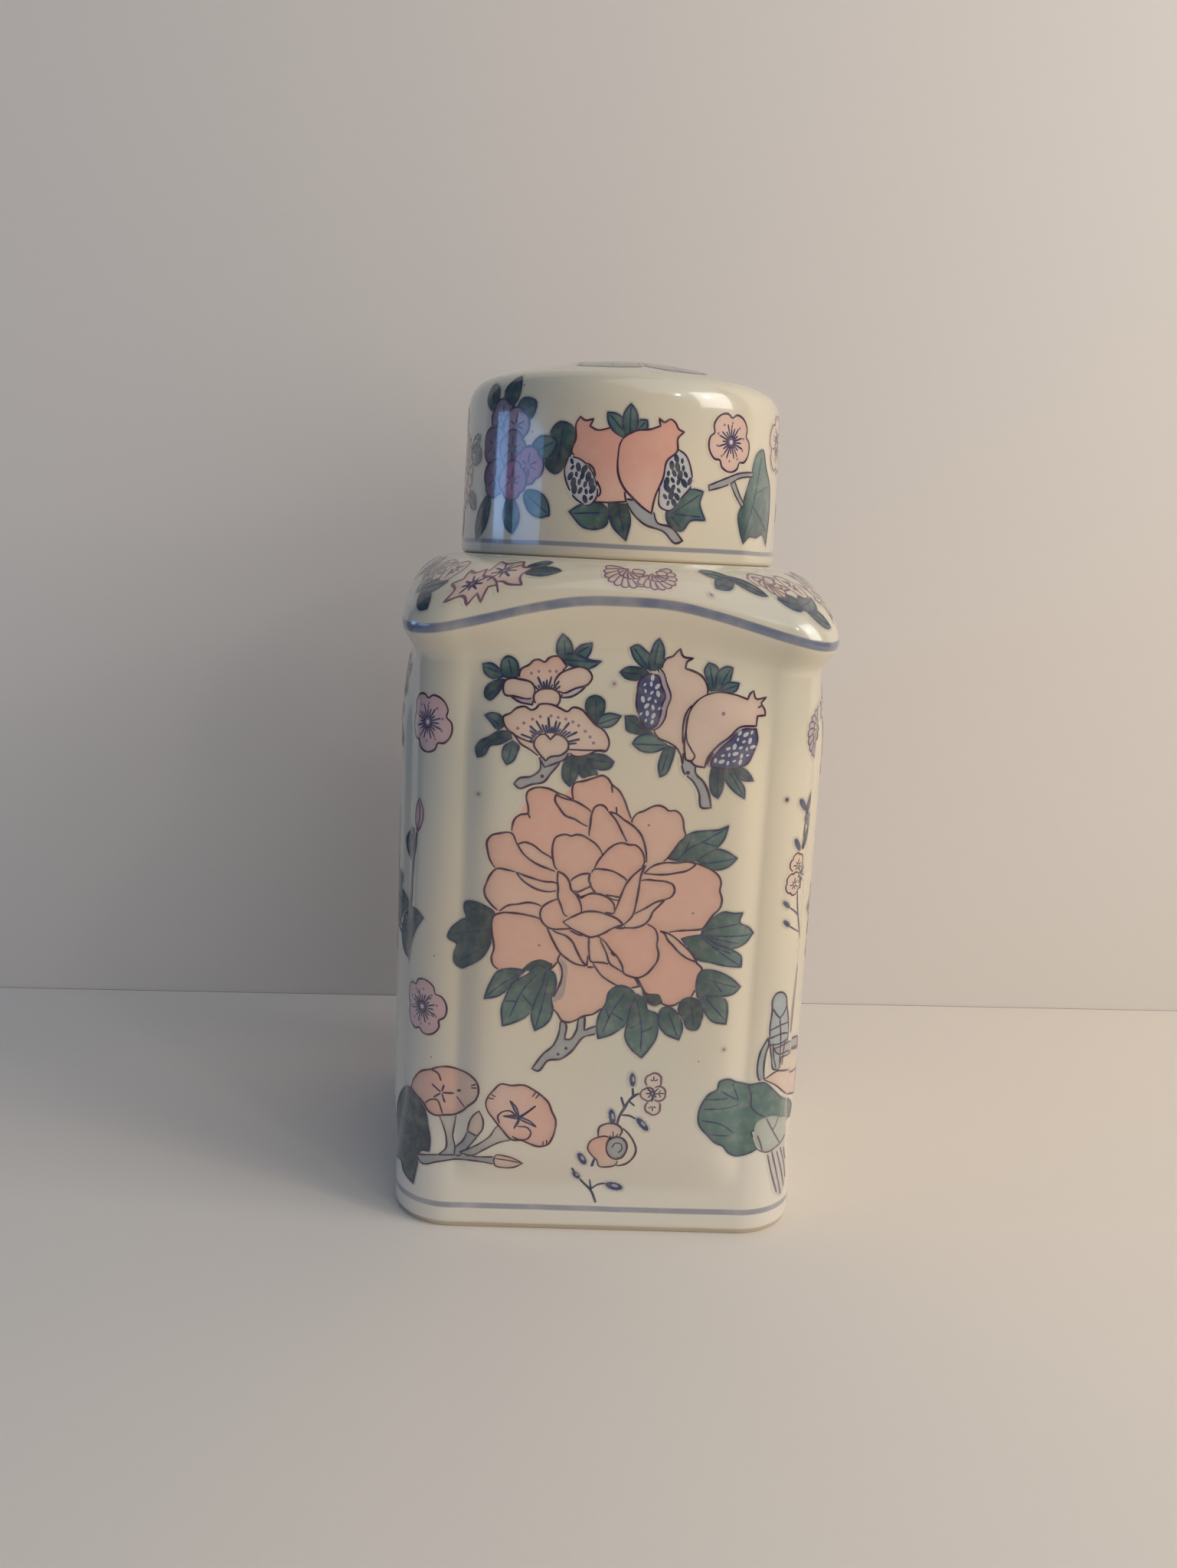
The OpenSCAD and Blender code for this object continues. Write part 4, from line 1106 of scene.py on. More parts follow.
def prunus(art, x, y, radius, tone="petal pink", turn=0.3):
    """A five-petalled blossom with its stamens."""
    art.wash(tone, *lobed(x, y, radius, 5, 0.2, turn), pool=0.12)
    for i in range(5):
        angle = turn + 2 * math.pi * i / 5
        art.line(x + 0.78 * radius * math.cos(angle), y + 0.78 * radius * math.sin(angle),
                 x + 0.45 * radius * math.cos(angle), y + 0.45 * radius * math.sin(angle), pen=0.32)
    art.dot(x, y, 0.22 * radius, "plum")
    rays(art, x, y, 0, 342, 20, 0.16 * radius, 0.5 * radius, pen=0.4)
    for i in range(10):
        angle = 2 * math.pi * (i + 0.4) / 10
        art.dot(x + 0.64 * radius * math.cos(angle), y + 0.64 * radius * math.sin(angle), 0.35, "mauve")
    art.dot(x, y, 0.08 * radius, "milk")


def spray(art, x, y, start_angle, end_angle, count, inner, outer, wide, tone, ink="ink"):
    """Long narrow petals set round a point, as on a chrysanthemum."""
    for i in range(count):
        angle = math.radians(start_angle + (end_angle - start_angle) * i / max(1, count - 1))
        ahead_x, ahead_y = math.cos(angle), math.sin(angle)
        numbers = []
        for far, side in [(inner, 0.25), (0.7 * outer, 0.5), (0.93 * outer, 0.38), (outer, 0),
                          (0.93 * outer, -0.38), (0.7 * outer, -0.5), (inner, -0.25)]:
            numbers += [x + far * ahead_x - wide * side * ahead_y,
                        y + far * ahead_y + wide * side * ahead_x]
        art.wash(tone, *numbers, pen=0.4, ink=ink)


def frond(art, tone, x, y, angle, length, wide):
    """One pointed leaf from its stalk end, with its midrib."""
    ahead_x, ahead_y = math.cos(math.radians(angle)), math.sin(math.radians(angle))
    numbers = []
    for far, side in [(0, 0.1), (0.25, 0.4), (0.55, 0.5), (0.82, 0.32), (1, 0), (0.8, -0.36), (0.5, -0.5),
                      (0.22, -0.38), (0, -0.1)]:
        numbers += [x + length * far * ahead_x - wide * side * ahead_y,
                    y + length * far * ahead_y + wide * side * ahead_x]
    tip = (x + 0.9 * length * ahead_x, y + 0.9 * length * ahead_y)
    art.heart = (x, y)
    art.leaf(tone, *numbers, veins=[(x, y, *tip)])


def trumpets(art):
    art.heart = (-36, 26)
    art.leaf("deep leaf", -58, 31, -53, 33, -50, 33.9, -47.7, 32.7, -44.6, 29.9, -43.3, 26.1, -42.4, 22.4,
             -42.4, 19.6, -44.6, 19.2, -45.2, 15.5, -46.1, 9.9, -50, 11.7, -51.7, 13.6, -54.2, 13,
             -58, 11.7, -62, 20,
             veins=[(-44, 24, -52, 24, -60, 22), (-45, 27, -51, 30.5), (-46, 20, -51, 15),
                    (-46, 29, -49.5, 26.5), (-45.5, 25.5, -51, 21), (-46.5, 22, -52, 18),
                    (-46.5, 16, -49, 12.5)])
    stem = "stem"
    art.wash(stem, -25.8, 20.5, -29.9, 20.2, -33.6, 19.9, -40, 19.2, -46, 17.8, -44.2, 16.1, -40, 17.4,
             -36.7, 18.3, -30, 18.9, -25.8, 18.3, pen=0.4)
    art.wash(stem, -30.3, 26, -32.9, 26.8, -34.2, 23.6, -36, 21.5, -37.3, 19.4, -35, 19.6, -33, 22, pen=0.4)
    art.wash("pale stem", -25.2, 29.2, -27.4, 26.1, -31.1, 23, -34.9, 20.5, -32.1, 20.2, -28.6, 22.4,
             -24.9, 24.6, -21.7, 25.5, -22, 28, pen=0.4, fade=("stem", -25, 27, -34, 20.5))
    art.wash("pale stem", -40.5, 29.4, -39.2, 26.7, -38.3, 23.6, -38.3, 21.1, -40, 19.2, -36.2, 19.5,
             -36.1, 21.7, -36.7, 24.2, -36.4, 27.4, -36, 30.4, pen=0.4, fade=("stem", -38, 27, -38.5, 20))
    art.wash("blush", -30.2, 32.7, -31.7, 31.1, -32.7, 28.6, -33, 26.7, -30.5, 25.8, -29.2, 28, -29.1, 30.2,
             pen=0.4)
    art.wash("blush", -25.8, 20.8, -23, 20.8, -20.5, 19.9, -18.9, 18.9, -20.8, 17.7, -23.6, 17.4, -25.8, 18,
             -26.1, 19.6, pen=0.4)
    art.line(-25.8, 20, -22.5, 19.6, -19.5, 19, pen=0.35)
    art.wash("rose", -50, 35.2, -48.6, 37.4, -46.1, 39.9, -43, 41.2, -41.1, 42.1, -38.6, 42.6, -36.1, 42.2,
             -33, 41.7, -31.1, 40.2, -30.5, 37.7, -31.1, 35.5, -33, 33.3, -34.6, 31.4, -36.1, 30.2,
             -39.2, 29.6, -41.7, 29.2, -43.6, 29.9, -44.9, 31.4, -47.7, 33, -50.2, 33.9,
             fade=("blush", -39, 36, -31, 37))
    art.line(-43, 41.1, -41.1, 40.5, -40.2, 38.6)
    art.line(-44.6, 31.7, -43, 33, -41.1, 33.3, -40.2, 31.7, -39.6, 29.9)
    art.line(-36.1, 34.9, -34.6, 33.3, -33.9, 32.7)
    art.line(-36, 36.4, -35, 36.8, pen=0.8)
    rays(art, -40, 35.5, -70, 290, 6, 0.3, 2.8, pen=0.5)
    art.wash("rose", -28.6, 34.9, -28.1, 36.7, -26.7, 38.6, -25.2, 40.2, -22.4, 40, -19.2, 40.2,
             -17.1, 39.2, -14.9, 37.7, -13, 35.8, -12.1, 33.6, -11, 31.1, -11.1, 28.6, -11.7, 26.4,
             -12.7, 24.6, -14.9, 23.9, -17.4, 24.6, -19.2, 25.4, -21.7, 25.5, -24.2, 28, -25.2, 29.2,
             -26.7, 31.1, -28.1, 33, fade=("petal pink", -15, 29, -28, 36))
    art.line(-25, 29.8, -25.5, 31.7, -24.2, 33, -22.4, 33.2, -21.1, 32.1)
    art.line(-20.5, 29.2, -18, 28.9, -17.1, 27.7, -17.7, 26.1, -19.9, 25.6, -21.7, 26.4)
    for x, y in [(-22.6, 36), (-16.2, 34.8), (-15.8, 29.2), (-24.2, 31.8), (-21.4, 28.6)]:
        art.line(-20.2, 31.8, 0.5 * (x - 20.2) + 0.5, 0.5 * (y + 31.8) + 0.2, x, y, -20.2, 31.2, pen=0.48,
                 ink="blue ink")
    for x, y, dx, dy in [(-16.2, 38.6, -0.9, -1.4), (-15.4, 38, -0.9, -1.2), (-28, 36.4, 1.4, -0.2),
                         (-27.4, 37.4, 1.2, -0.6), (-14, 24.2, 0.1, 1.3), (-13, 24.6, -0.1, 1.2),
                         (-31, 38.6, -1.5, -0.3), (-31.2, 39.5, -1.3, -0.6)]:
        art.line(x, y, x + dx, y + dy, pen=0.38)


def sprig(art):
    ink = "blue ink"
    art.line(0.2, 8, -1.1, 11.1, -3.6, 13.9, -5.2, 16.1, -6.4, 18, pen=0.55, ink=ink)
    art.line(-1.2, 11.7, 0.4, 13, 2.9, 13.6, pen=0.45, ink=ink)
    art.line(-1.2, 11.7, -1.7, 14.6, pen=0.45, ink=ink)
    art.line(-1.4, 18.6, -0.8, 21.1, pen=0.7, ink=ink)
    art.line(4.3, 30, 4.8, 32.7, 6.1, 35.2, 7, 37, 8.6, 38.6, 10.1, 39.2, pen=0.65, ink=ink)
    art.line(7, 37, 8.5, 35.7, pen=0.5, ink=ink)
    art.line(6, 35.2, 5, 38, pen=0.5, ink=ink)
    art.line(8, 38.4, 7.6, 42, pen=0.5, ink=ink)
    art.line(5.3, 33.2, 7.5, 33, 9, 32.2, pen=0.42, ink=ink)
    for x, y, long, wide, lean in [(4.6, 12.7, 2.3, 1.1, -15), (-5.2, 15.8, 1.3, 0.7, -50),
                                   (-4, 20.8, 1.9, 0.9, 120), (3, 32.6, 2.1, 0.85, 100),
                                   (7.6, 42.6, 1.8, 0.75, 95), (10.7, 30.8, 2.2, 0.85, -48)]:
        art.dot(x, y, wide, "cobalt", long / wide, lean)
        art.dot(x + 0.2, y + 0.15, 0.4 * wide, "stem", long / wide, lean)
    art.wash("blush", 5.1, 30.2, 7, 28.6, 8.6, 26.4, 9.5, 23.6, 8.6, 21.1, 7, 19.6, 5.1, 19.1, 3, 20, 2, 24,
             3, 28, cover=0.35)
    art.wash("blush", -0.2, 26.5, 0.1, 29.9, 2, 30.8, 4.5, 30.5, 5.7, 29.2, 5.1, 27.4, 3, 26.2)
    art.wash("coral", -0.2, 27, -2.1, 25.8, -2.7, 23.9, -1.7, 22.1, -0.2, 20.5, 0.4, 18.8, 2.6, 18.6,
             4.5, 19.2, 5, 22, 3.5, 25.5, 2.2, 27.2, pen=0.42, fade=("blush", 0, 24.5, 2, 19))
    art.wash("stem", 2, 24.6, 2.6, 26.4, 4.2, 27.2, 6, 26.8, 7.1, 25.2, 6.9, 23, 5.8, 21.4, 4, 21.1,
             2.6, 22.2, pen=0.55)
    art.line(3.4, 24.2, 4.2, 25.5, 5.6, 25.3, 5.9, 23.8, 5, 22.8, pen=0.35)
    rays(art, 3.6, 26.2, 60, 125, 3, 0.6, 2.2, pen=0.35)
    for x, y, radius in [(12.9, 42.5, 2.1), (13.1, 35.4, 2.0), (14.2, 39.1, 2.0), (11.6, 38.9, 1.8)]:
        art.wash("blush", *lobed(x, y, radius, 3, 0.12), pen=0.5, cover=0.4, ink="plum")
    rays(art, 12.8, 39.1, 0, 315, 8, 0.2, 1.8, pen=0.4)
    for x, y, turn in [(12.9, 42.3, 90), (13, 35.8, -90), (14.3, 39.2, 0)]:
        rays(art, x, y, turn - 60, turn + 60, 3, 0.2, 1.2, pen=0.36)


def lotus(art):
    art.heart = (38, 31)
    art.wash("stem", 43.5, 24, 43.8, 20.5, 45, 15.5, 47, 9.5, 48.5, 8.5, 50, 10.5, 51, 15, 51.2, 20,
             50.5, 24, pen=0, cover=0.5)
    for numbers in [(43.8, 21, 45, 15.5, 46.8, 10), (45.2, 21.5, 46.8, 15, 48.4, 9),
                    (47, 21, 48.6, 15.5, 49.8, 10.5), (48.6, 21.5, 50, 17, 50.8, 12.5),
                    (50.2, 21, 51, 17.5)]:
        art.line(*numbers, pen=0.5, ink="faded ink")
    art.wash("lilac", 51.2, 52, 51.5, 57, 52, 61, 52.8, 65, 54, 69, 54, 65, 53.3, 61, 52.5, 57, 52, 52,
             pen=0.4)
    art.wash("bud", 42.4, 62.7, 43.4, 64.2, 45.2, 64.3, 47, 63, 47.9, 60, 48.9, 57, 49.8, 52.5, 49.4, 48.5,
             48.6, 44, 46.4, 43.4, 44.4, 43.8, 43.4, 47, 42.7, 50.5, 42.2, 55, 42.5, 60, cover=0.9)
    art.wash("bud", 41.9, 52.6, 40.3, 49.8, 39.5, 46, 39.7, 43, 40.3, 41.5, 41.6, 41.7, 41.3, 45,
             41.6, 48.5, 42.3, 51.5, cover=0.9)
    art.wash("blush", 47, 46.5, 52, 46, 60, 44, 65, 43, 65, 37.5, 59, 38, 52, 41.3, 46.5, 43, cover=0.6)
    art.wash("petal pink", 41.5, 41.5, 45.5, 43, 49, 42.3, 55, 40.2, 60, 37.6, 64, 37.4, 64, 30, 57, 32.5,
             50, 36, 45, 39.6, cover=0.75)
    art.wash("stem", 44, 49.5, 50, 49.7, 57, 47.5, 63, 46, 63, 44, 57, 45, 50, 47.2, 45, 48.1, pen=0.5)
    for numbers in [(43.6, 51, 44.2, 47, 45.2, 44), (42.2, 54.6, 45.8, 55.4, 49.3, 55.4),
                    (42.4, 52.4, 46, 53, 49.8, 52.4), (42.7, 50.6, 46, 50.4, 49.6, 50.8),
                    (42.8, 60.2, 44, 58.6, 45.3, 57.4, 46.8, 58.6, 47.8, 60.4),
                    (45.3, 57.4, 46.2, 52, 46.5, 45), (48.2, 50.5, 47.8, 47, 47.6, 44.2)]:
        art.line(*numbers, pen=0.45)
    art.leaf("lotus leaf", 25, 31, 25.5, 37, 27, 39.2, 29, 40.5, 29.5, 42.5, 31.5, 43, 34, 41.7, 37, 40.5,
             42, 40.5, 44.5, 38.5, 48, 35.5, 54, 32.5, 59, 30.5, 62, 27, 61, 24.5, 57, 25.5, 52, 27.7,
             47.5, 29.5, 44.5, 29.7, 41.5, 29, 39, 27.5, 40.7, 23, 39, 22.2, 35.5, 21.5, 33, 23, 31.5, 25,
             29.5, 26, 27.5, 28,
             veins=[(30, 40, 35, 36.5), (33, 41.5, 35, 36.7), (26, 35.2, 35.2, 35.2),
                    (25.7, 32.2, 30.5, 31, 34.5, 27.7), (37.5, 40.5, 38.5, 36.5, 38.5, 35, 44, 30.2),
                    (27.5, 28.5, 33, 27.5), (26, 37.8, 32, 37.8)])
    art.wash("dry leaf", 40.5, 30, 44, 31, 49, 29.5, 53, 27.5, 52, 23.5, 47, 22, 43, 21.8, 41, 23.5,
             39.8, 27, pen=0, pool=0.2)
    for numbers in [(43.2, 30.8, 45.5, 27, 48.5, 22.6), (47.8, 30, 46.6, 28, 45.5, 27),
                    (48.5, 22.6, 50.5, 23.4, 52, 23.5), (40.2, 23.2, 43, 21.8, 48.5, 22.6),
                    (40.8, 26.5, 41.6, 24.5, 42.2, 22.4)]:
        art.line(*numbers, ink="faded ink")


def corner_flowers(art):
    """What climbs the corner columns beside the front face."""
    # the left column's blossoms and bud are in a darker, cooler pink than the other blossoms: painted shade
    prunus(art, -47, 129, 7.3, "mauve pink")
    prunus(art, -46.5, 57, 7.3, "mauve pink", 0.8)
    art.line(-50, 103, -51.6, 97, -53, 90, -53.6, 81, pen=1.6, ink="blue ink")
    art.wash("mauve pink", -49.5, 109.8, -48, 107.5, -47.9, 105, -49, 102.5, -50.4, 101.2, -51.5, 104,
             -51, 107.5, ink="plum")
    art.line(-49.6, 108.5, -49.2, 105.5, -50.2, 102, pen=0.4, ink="plum")
    art.leaf("deep leaf", -60.5, 96.5, -57, 101, -52, 101.5, -53, 96, -55.5, 93, -58.8, 93,
             veins=[(-59, 95, -53.5, 100)])
    art.leaf("deep leaf", -59.5, 66.5, -56, 66, -53, 71, -50, 76, -46.8, 80, -49, 81.2, -54, 81, -58.5, 79,
             -61.5, 73, veins=[(-47.5, 80, -54, 77, -61, 74), (-54, 77, -56, 69)])
    spray(art, 54, 130, 0, 340, 18, 1.2, 6.5, 2.4, "lilac")
    spray(art, 54, 130, 10, 330, 10, 0.4, 3.6, 2.0, "blush")
    art.line(54.2, 76.3, 52.5, 78.5, 50, 83.5, 48.8, 88, 48.5, 96, 49.5, 104, 50, 110, pen=0.6,
             ink="blue ink")
    art.line(45.6, 86.4, 48, 85, 50, 83.5, ink="blue ink")
    art.line(46.2, 81.4, 49, 80, 52.5, 78.5, ink="blue ink")
    art.wash("peach", *lobed(47.5, 97.3, 2.9, 5, 0.15), pen=0.42, cover=0.6)
    art.wash("petal pink", *lobed(46.6, 92.4, 3.0, 5, 0.15, 0.5), pen=0.42, cover=0.6)
    rays(art, 47.6, 97, 20, 340, 7, 0.3, 1.5, pen=0.36)
    rays(art, 46.8, 92.2, 40, 330, 7, 0.3, 1.5, pen=0.36)
    for x, y, radius, lean in [(44.4, 87.3, 0.6, -38), (45, 82.3, 0.6, -36), (46.9, 102.3, 0.85, -52),
                               (48, 112.3, 0.95, -42)]:
        art.dot(x, y, radius, "blue ink", 2.4, lean)
    frond(art, "leaf", 49.5, 109, -20, 6, 3)
    frond(art, "deep leaf", 50, 109.5, 62, 6, 2.2)
    frond(art, "deep leaf", 49.3, 101, 58, 6.5, 2.2)
    rays(art, 49.8, 94, 0, 315, 8, 0.3, 1.9, 1.5, pen=0.45)
    for x, y in [(8, 107.5), (20, 86), (-17, 76.5), (-2, 141), (30, 51), (-33, 113)]:
        art.dot(x, y, 0.33, "mauve")
    art.dot(42, 114, 0.5)


front_art = Transfer()
for draw in (pomegranates, hibiscus, peony, trumpets, sprig, lotus, corner_flowers):
    draw(front_art)
lay_transfer("front_transfer", front_art, wall_ground, 0, "jar")
lay_transfer("back_transfer", front_art, wall_ground, 180, "jar")

side_art = Transfer()
side_art.shift(0, 8.5, -1, 0.92)
for draw in (pomegranates, hibiscus, peony):
    draw(side_art)
side_art.shift(14, 1, -1)
sprig(side_art)
side_art.shift(-16, 1)
sprig(side_art)
side_art.shift(0, 0)
prunus(side_art, 1, 27, 6.5)
frond(side_art, "leaf", 3, 21, -60, 10, 5)
frond(side_art, "deep leaf", -1, 21, -110, 9, 4.5)
frond(side_art, "leaf", 7.5, 30, 40, 8, 4)
lay_transfer("right_transfer", side_art, wall_ground, 90, "jar")
lay_transfer("left_transfer", side_art, wall_ground, -90, "jar")

# The shoulder's transfers
# Smaller sprays of the same print on the sloping shoulder between the lip and the lid, one on each side.
slope_height = 20
slope_rows = np.array([lip_ring] + shoulder_rings)[:, around]
slope_wrap = np.stack(np.broadcast_arrays(face_s[None], slope_height * shoulder_shares[:, None]), -1)
slope_ground = ground_sheet("slope_ground", slope_rows, slope_wrap)
shoulder_art = Transfer()
for x, y, angle, long, tone in [(-25.5, 11.2, -3, 9, "deep leaf"), (-26.5, 12.5, 18, 6, "leaf"),
                                (27.5, 12, 170, 8, "leaf"), (27.5, 12, -150, 7.5, "deep leaf"),
                                (27, 12.2, -25, 8, "deep leaf"), (44, 8, 178, 7.5, "deep leaf"),
                                (43, 7.6, -28, 7.5, "deep leaf"), (42, 7.5, 12, 8, "leaf")]:
    frond(shoulder_art, tone, x, y, angle, long, 3.0)
for numbers in [
    (-24.2, 7.2, -26, 10, -24.5, 12.5, -27.5, 12.6, -29.5, 14.6, -33, 13.8, -36.5, 14.6, -36, 12, -38, 10,
     -35.5, 9, -34, 7.5, -32.5, 8.4, -29.5, 8.6, -28, 7.9),
    (-29, 6, -30.5, 7.8, -32.3, 7.6, -32, 4.3, -34, 6.4, -35, 4.1, -36.8, 6, -41.2, 5.2, -40.5, 7.4,
     -43, 8.8, -40.8, 9.8, -41.8, 11.8, -39, 11.2, -37.2, 12, -36, 10.4, -33.5, 10, -31.3, 8.8),
]:
    shoulder_art.wash("petal pink", *numbers, pen=0.5, ink="plum", cover=0.8)
for x, y, span in [(-31.8, 11.6, 3.4), (-37, 8.6, 2.6)]:
    shoulder_art.dot(x, y, 1.0, "mauve", 1.4)
    rays(shoulder_art, x, y, 0, 320, 9, 0.5, span, 0.7, pen=0.42)
for x, y, first_angle, last_angle, count, far in [(0.5, 11.4, 165, 335, 10, 6.4),
                                                  (6.5, 10.6, 225, 385, 9, 5.6),
                                                  (1, 11.6, 190, 350, 7, 3.4), (7, 10.8, 240, 370, 6, 3.0)]:
    spray(shoulder_art, x, y, first_angle, last_angle, count, 0.4, far, 1.9, "blush", "plum")
for numbers in [(33, 12.6, 36, 14.4, 40, 14.2, 43.5, 13.6, 41, 12.2, 44.6, 11, 41, 10.4, 38.5, 9.4,
                 36.5, 11, 34, 11),
                (43.8, 12.4, 45.5, 14.2, 48.5, 13.8, 50, 12, 49, 9.6, 46.5, 9.2, 44.6, 10.4)]:
    shoulder_art.wash("petal pink", *numbers, pen=0.4, ink="faded ink", cover=0.6)
spray(shoulder_art, 38.5, 12.2, 170, 380, 8, 0.3, 3.4, 1.7, "blush", "faded ink")
rays(shoulder_art, 47, 11.8, 0, 320, 8, 0.4, 1.6, pen=0.35)
shoulder_art.dot(19, 6, 0.4, "mauve")
for side, turn in (("front", 0), ("right", 90), ("back", 180), ("left", -90)):
    lay_transfer("shoulder_transfer_" + side, shoulder_art, slope_ground, turn, "jar")

# The lid's transfers
# A pair of split fruit, blossoms and leaves round the lid's side, twice over, and a flower on its dome.
seat_level = np.array([0, 0, jar_height])


def lid_rows(profile, first, last):
    """The angles of some of the lid's segments, and the rows of points that a profile makes there."""
    angle = 2 * math.pi / lid_segments * np.arange(first, last + 1)
    across, ahead, level = np.sin(angle), -np.cos(angle), np.ones(len(angle))
    rows = np.array([np.stack([r * across, r * ahead, z * level], 1) for r, z in profile])
    return angle, rows + seat_level


side_profile = np.concatenate([edge_points[:-1], side_points])[::-1]
side_angle, side_rows = lid_rows(side_profile, -90, 90)
side_wrap = np.stack(np.broadcast_arrays(side_angle[None] * lid_radius, side_profile[:, 1, None]), -1)
side_ground = ground_sheet("side_ground", side_rows, side_wrap)
dome_profile = dome_points[::-1].copy()
# a pinhole stays open in the middle, so that the rows don't run together
dome_profile[-1, 0] = 0.02
dome_rows = lid_rows(dome_profile, -108, 108)[1]
dome_ground = ground_sheet("dome_ground", dome_rows, dome_rows[:, :, :2])


def lid_fruit(art):
    art.heart = (0, 20)
    leaf, deep = "leaf", "deep leaf"
    for numbers, tone, veins in [
        ((-18.2, 31.7, -14.5, 30.5, -13.7, 27.2, -15.3, 23, -18.7, 19.7, -21.2, 21.3, -21.2, 25.5, -20, 30),
         deep, [(-17, 30.5, -18, 22), (-17.3, 27, -20.5, 24)]),
        ((-14.5, 10.9, -11.2, 12.8, -6.2, 12.8, -4.5, 11, -5.3, 8, -10.3, 7.2), leaf,
         [(-13.5, 10.5, -5.5, 11)]),
        ((-5, 13.2, -0.3, 13.4, 0.5, 9.7, -0.3, 4.7, -3.7, 8), deep, [(-2.5, 13, -0.8, 6)]),
        ((11.3, 14.7, 15.5, 17.6, 18.8, 17.2, 18, 14.7, 19.7, 10.5, 15.5, 10, 13.4, 7.6, 10.5, 8.4,
          9.2, 11.4), leaf, [(10.5, 11.5, 18, 16.5), (11, 11.5, 18.5, 11.2), (10.5, 11, 13, 8.5)]),
        ((30.5, 12.2, 32.2, 15.5, 34.7, 21.3, 38, 28, 40.5, 28.8, 43, 24.7, 46.3, 20.5, 47.2, 14.7,
          45.5, 5.5, 42.2, 8, 38.8, 7.2, 35.5, 7.2, 33, 5.5, 31.3, 8.8), leaf,
         [(33, 7, 37, 16, 40, 27), (38, 18, 44, 20), (36.5, 15, 45, 9)]),
    ]:
        art.leaf(tone, *numbers, veins=veins)
    art.wash("stem", 0.9, 11.3, 3.8, 8.8, 8.8, 7.2, 12.2, 4.6, 13.8, 5.3, 10.5, 8.4, 7.2, 9.2, 5.6, 12.5,
             2, 14, -1, 14.5)
    art.wash("deep coral", -13.7, 31.7, -12.8, 33, -11.6, 32.2, -9.5, 32.6, -10.3, 30.9, -8.7, 30.1,
             -4.5, 30.5, -2.4, 28.4, -1, 15, -0.7, 13.8, -4.5, 13.4, -8.7, 13.4, -7, 15.5, -8.2, 18.8,
             -9.1, 21.3, -12, 23, -14.5, 24.7, -13.7, 28, pool=0.1, fade=("rose", -6, 26, -4, 14))
    seeds(art, -15.3, 23.8, -16.2, 20.5, -15.3, 17.2, -12.8, 13.8, -9.5, 12.6, -7.8, 14.7, -8.2, 18,
          -10.3, 21.7, -12.8, 23.4, lean=80, ground="pith", mark="slate", size=0.58)
    for x, y in [(-6.2, 34.2), (3.4, 32.8), (-0.7, 36.3)]:
        frond(art, leaf if x else deep, -0.6, 28.6, math.degrees(math.atan2(y - 28.6, x + 0.6)),
              math.hypot(x + 0.6, y - 28.6), 3.6)
    seeds(art, 11.3, 26.7, 13.4, 25.5, 15.1, 22.2, 15.5, 18.8, 13, 15.5, 9.7, 12.2, 7.6, 13, 7.2, 16.3,
          8.4, 21.3, 9.7, 24.7, lean=100, ground="pith", mark="slate", size=0.58)
    art.wash("deep coral", -2.4, 28, -3.2, 23.8, -2.8, 19.7, -1.2, 16.7, 0.9, 14.7, 3.4, 12.6, 5.5, 11.3,
             6.3, 15.5, 8, 19.7, 8.8, 23.8, 11.3, 26.3, 11.3, 29.2, 12.8, 30.7, 11.3, 31.3, 10.5, 32.6,
             9.2, 33.4, 7.6, 32.6, 6.3, 33.4, 6.7, 31.7, 4.7, 30.9, 0.5, 30.1, pool=0.1,
             fade=("rose", 4, 25, 4.5, 13))
    art.wash("stem", 20.5, 17.6, 25.5, 19, 30.5, 21.2, 36, 22, 36, 23, 30.5, 22.4, 25, 20.6, 20.3, 18.8,
             pen=0.42)
    art.wash("stem", 27.2, 19.6, 29.5, 16.5, 31.8, 14.2, 32.6, 15, 30.5, 17.5, 28.6, 20.4, pen=0.42)
    prunus(art, 26.7, 29.5, 7.1)


def lid_cluster(art, x):
    """A bunch of berries with leaves round it."""
    for far, high, angle, long, tone in [(-5, 35, 115, 7, "deep leaf"), (0, 35, 75, 8, "deep leaf"),
                                         (3, 33, 30, 7, "deep leaf"), (8, 24, 25, 8, "leaf"),
                                         (7, 15, -35, 9, "leaf"), (2, 14, -80, 9, "deep leaf"),
                                         (-6, 14, -120, 12, "deep leaf"), (-11, 24, 170, 8, "leaf")]:
        frond(art, tone, x + far, high, angle, long, 5.5)
    for far, high, radius, tone in [(-2, 33, 4.6, "plum"), (3, 31, 4.4, "mauve"), (-5, 26.5, 4.8, "plum"),
                                    (2, 25.5, 4.6, "plum"), (7.5, 21.5, 4.6, "berry"),
                                    (-4, 18.5, 4.8, "plum"), (2.5, 18, 4.8, "berry")]:
        art.wash(tone, *lobed(x + far, high, radius, 4, 0.12, 0.3 * far), pool=0.3)
        rays(art, x + far, high, 20, 340, 6, 0.6, 2.8, pen=0.4)


lid_art = Transfer()
lid_fruit(lid_art)
lid_cluster(lid_art, -34)
prunus(lid_art, 52, 31, 7.2, "blush", 0.9)
lid_art.shift(72, -2, 1, 0.95)
spray(lid_art, 0, 24, 0, 342, 20, 1.5, 10.5, 3.2, "coral")
spray(lid_art, 0, 24, 8, 338, 12, 0.5, 6.0, 2.6, "blush")
for angle in (-150, -90, -35, 30, 95, 150):
    frond(lid_art, "leaf" if angle % 60 else "deep leaf", 10.5 * math.cos(math.radians(angle)),
          24 + 10.5 * math.sin(math.radians(angle)), angle, 7, 4)
lay_transfer("lid_transfer_front", lid_art, side_ground, 0, "lid")
lay_transfer("lid_transfer_back", lid_art, side_ground, 180, "lid")

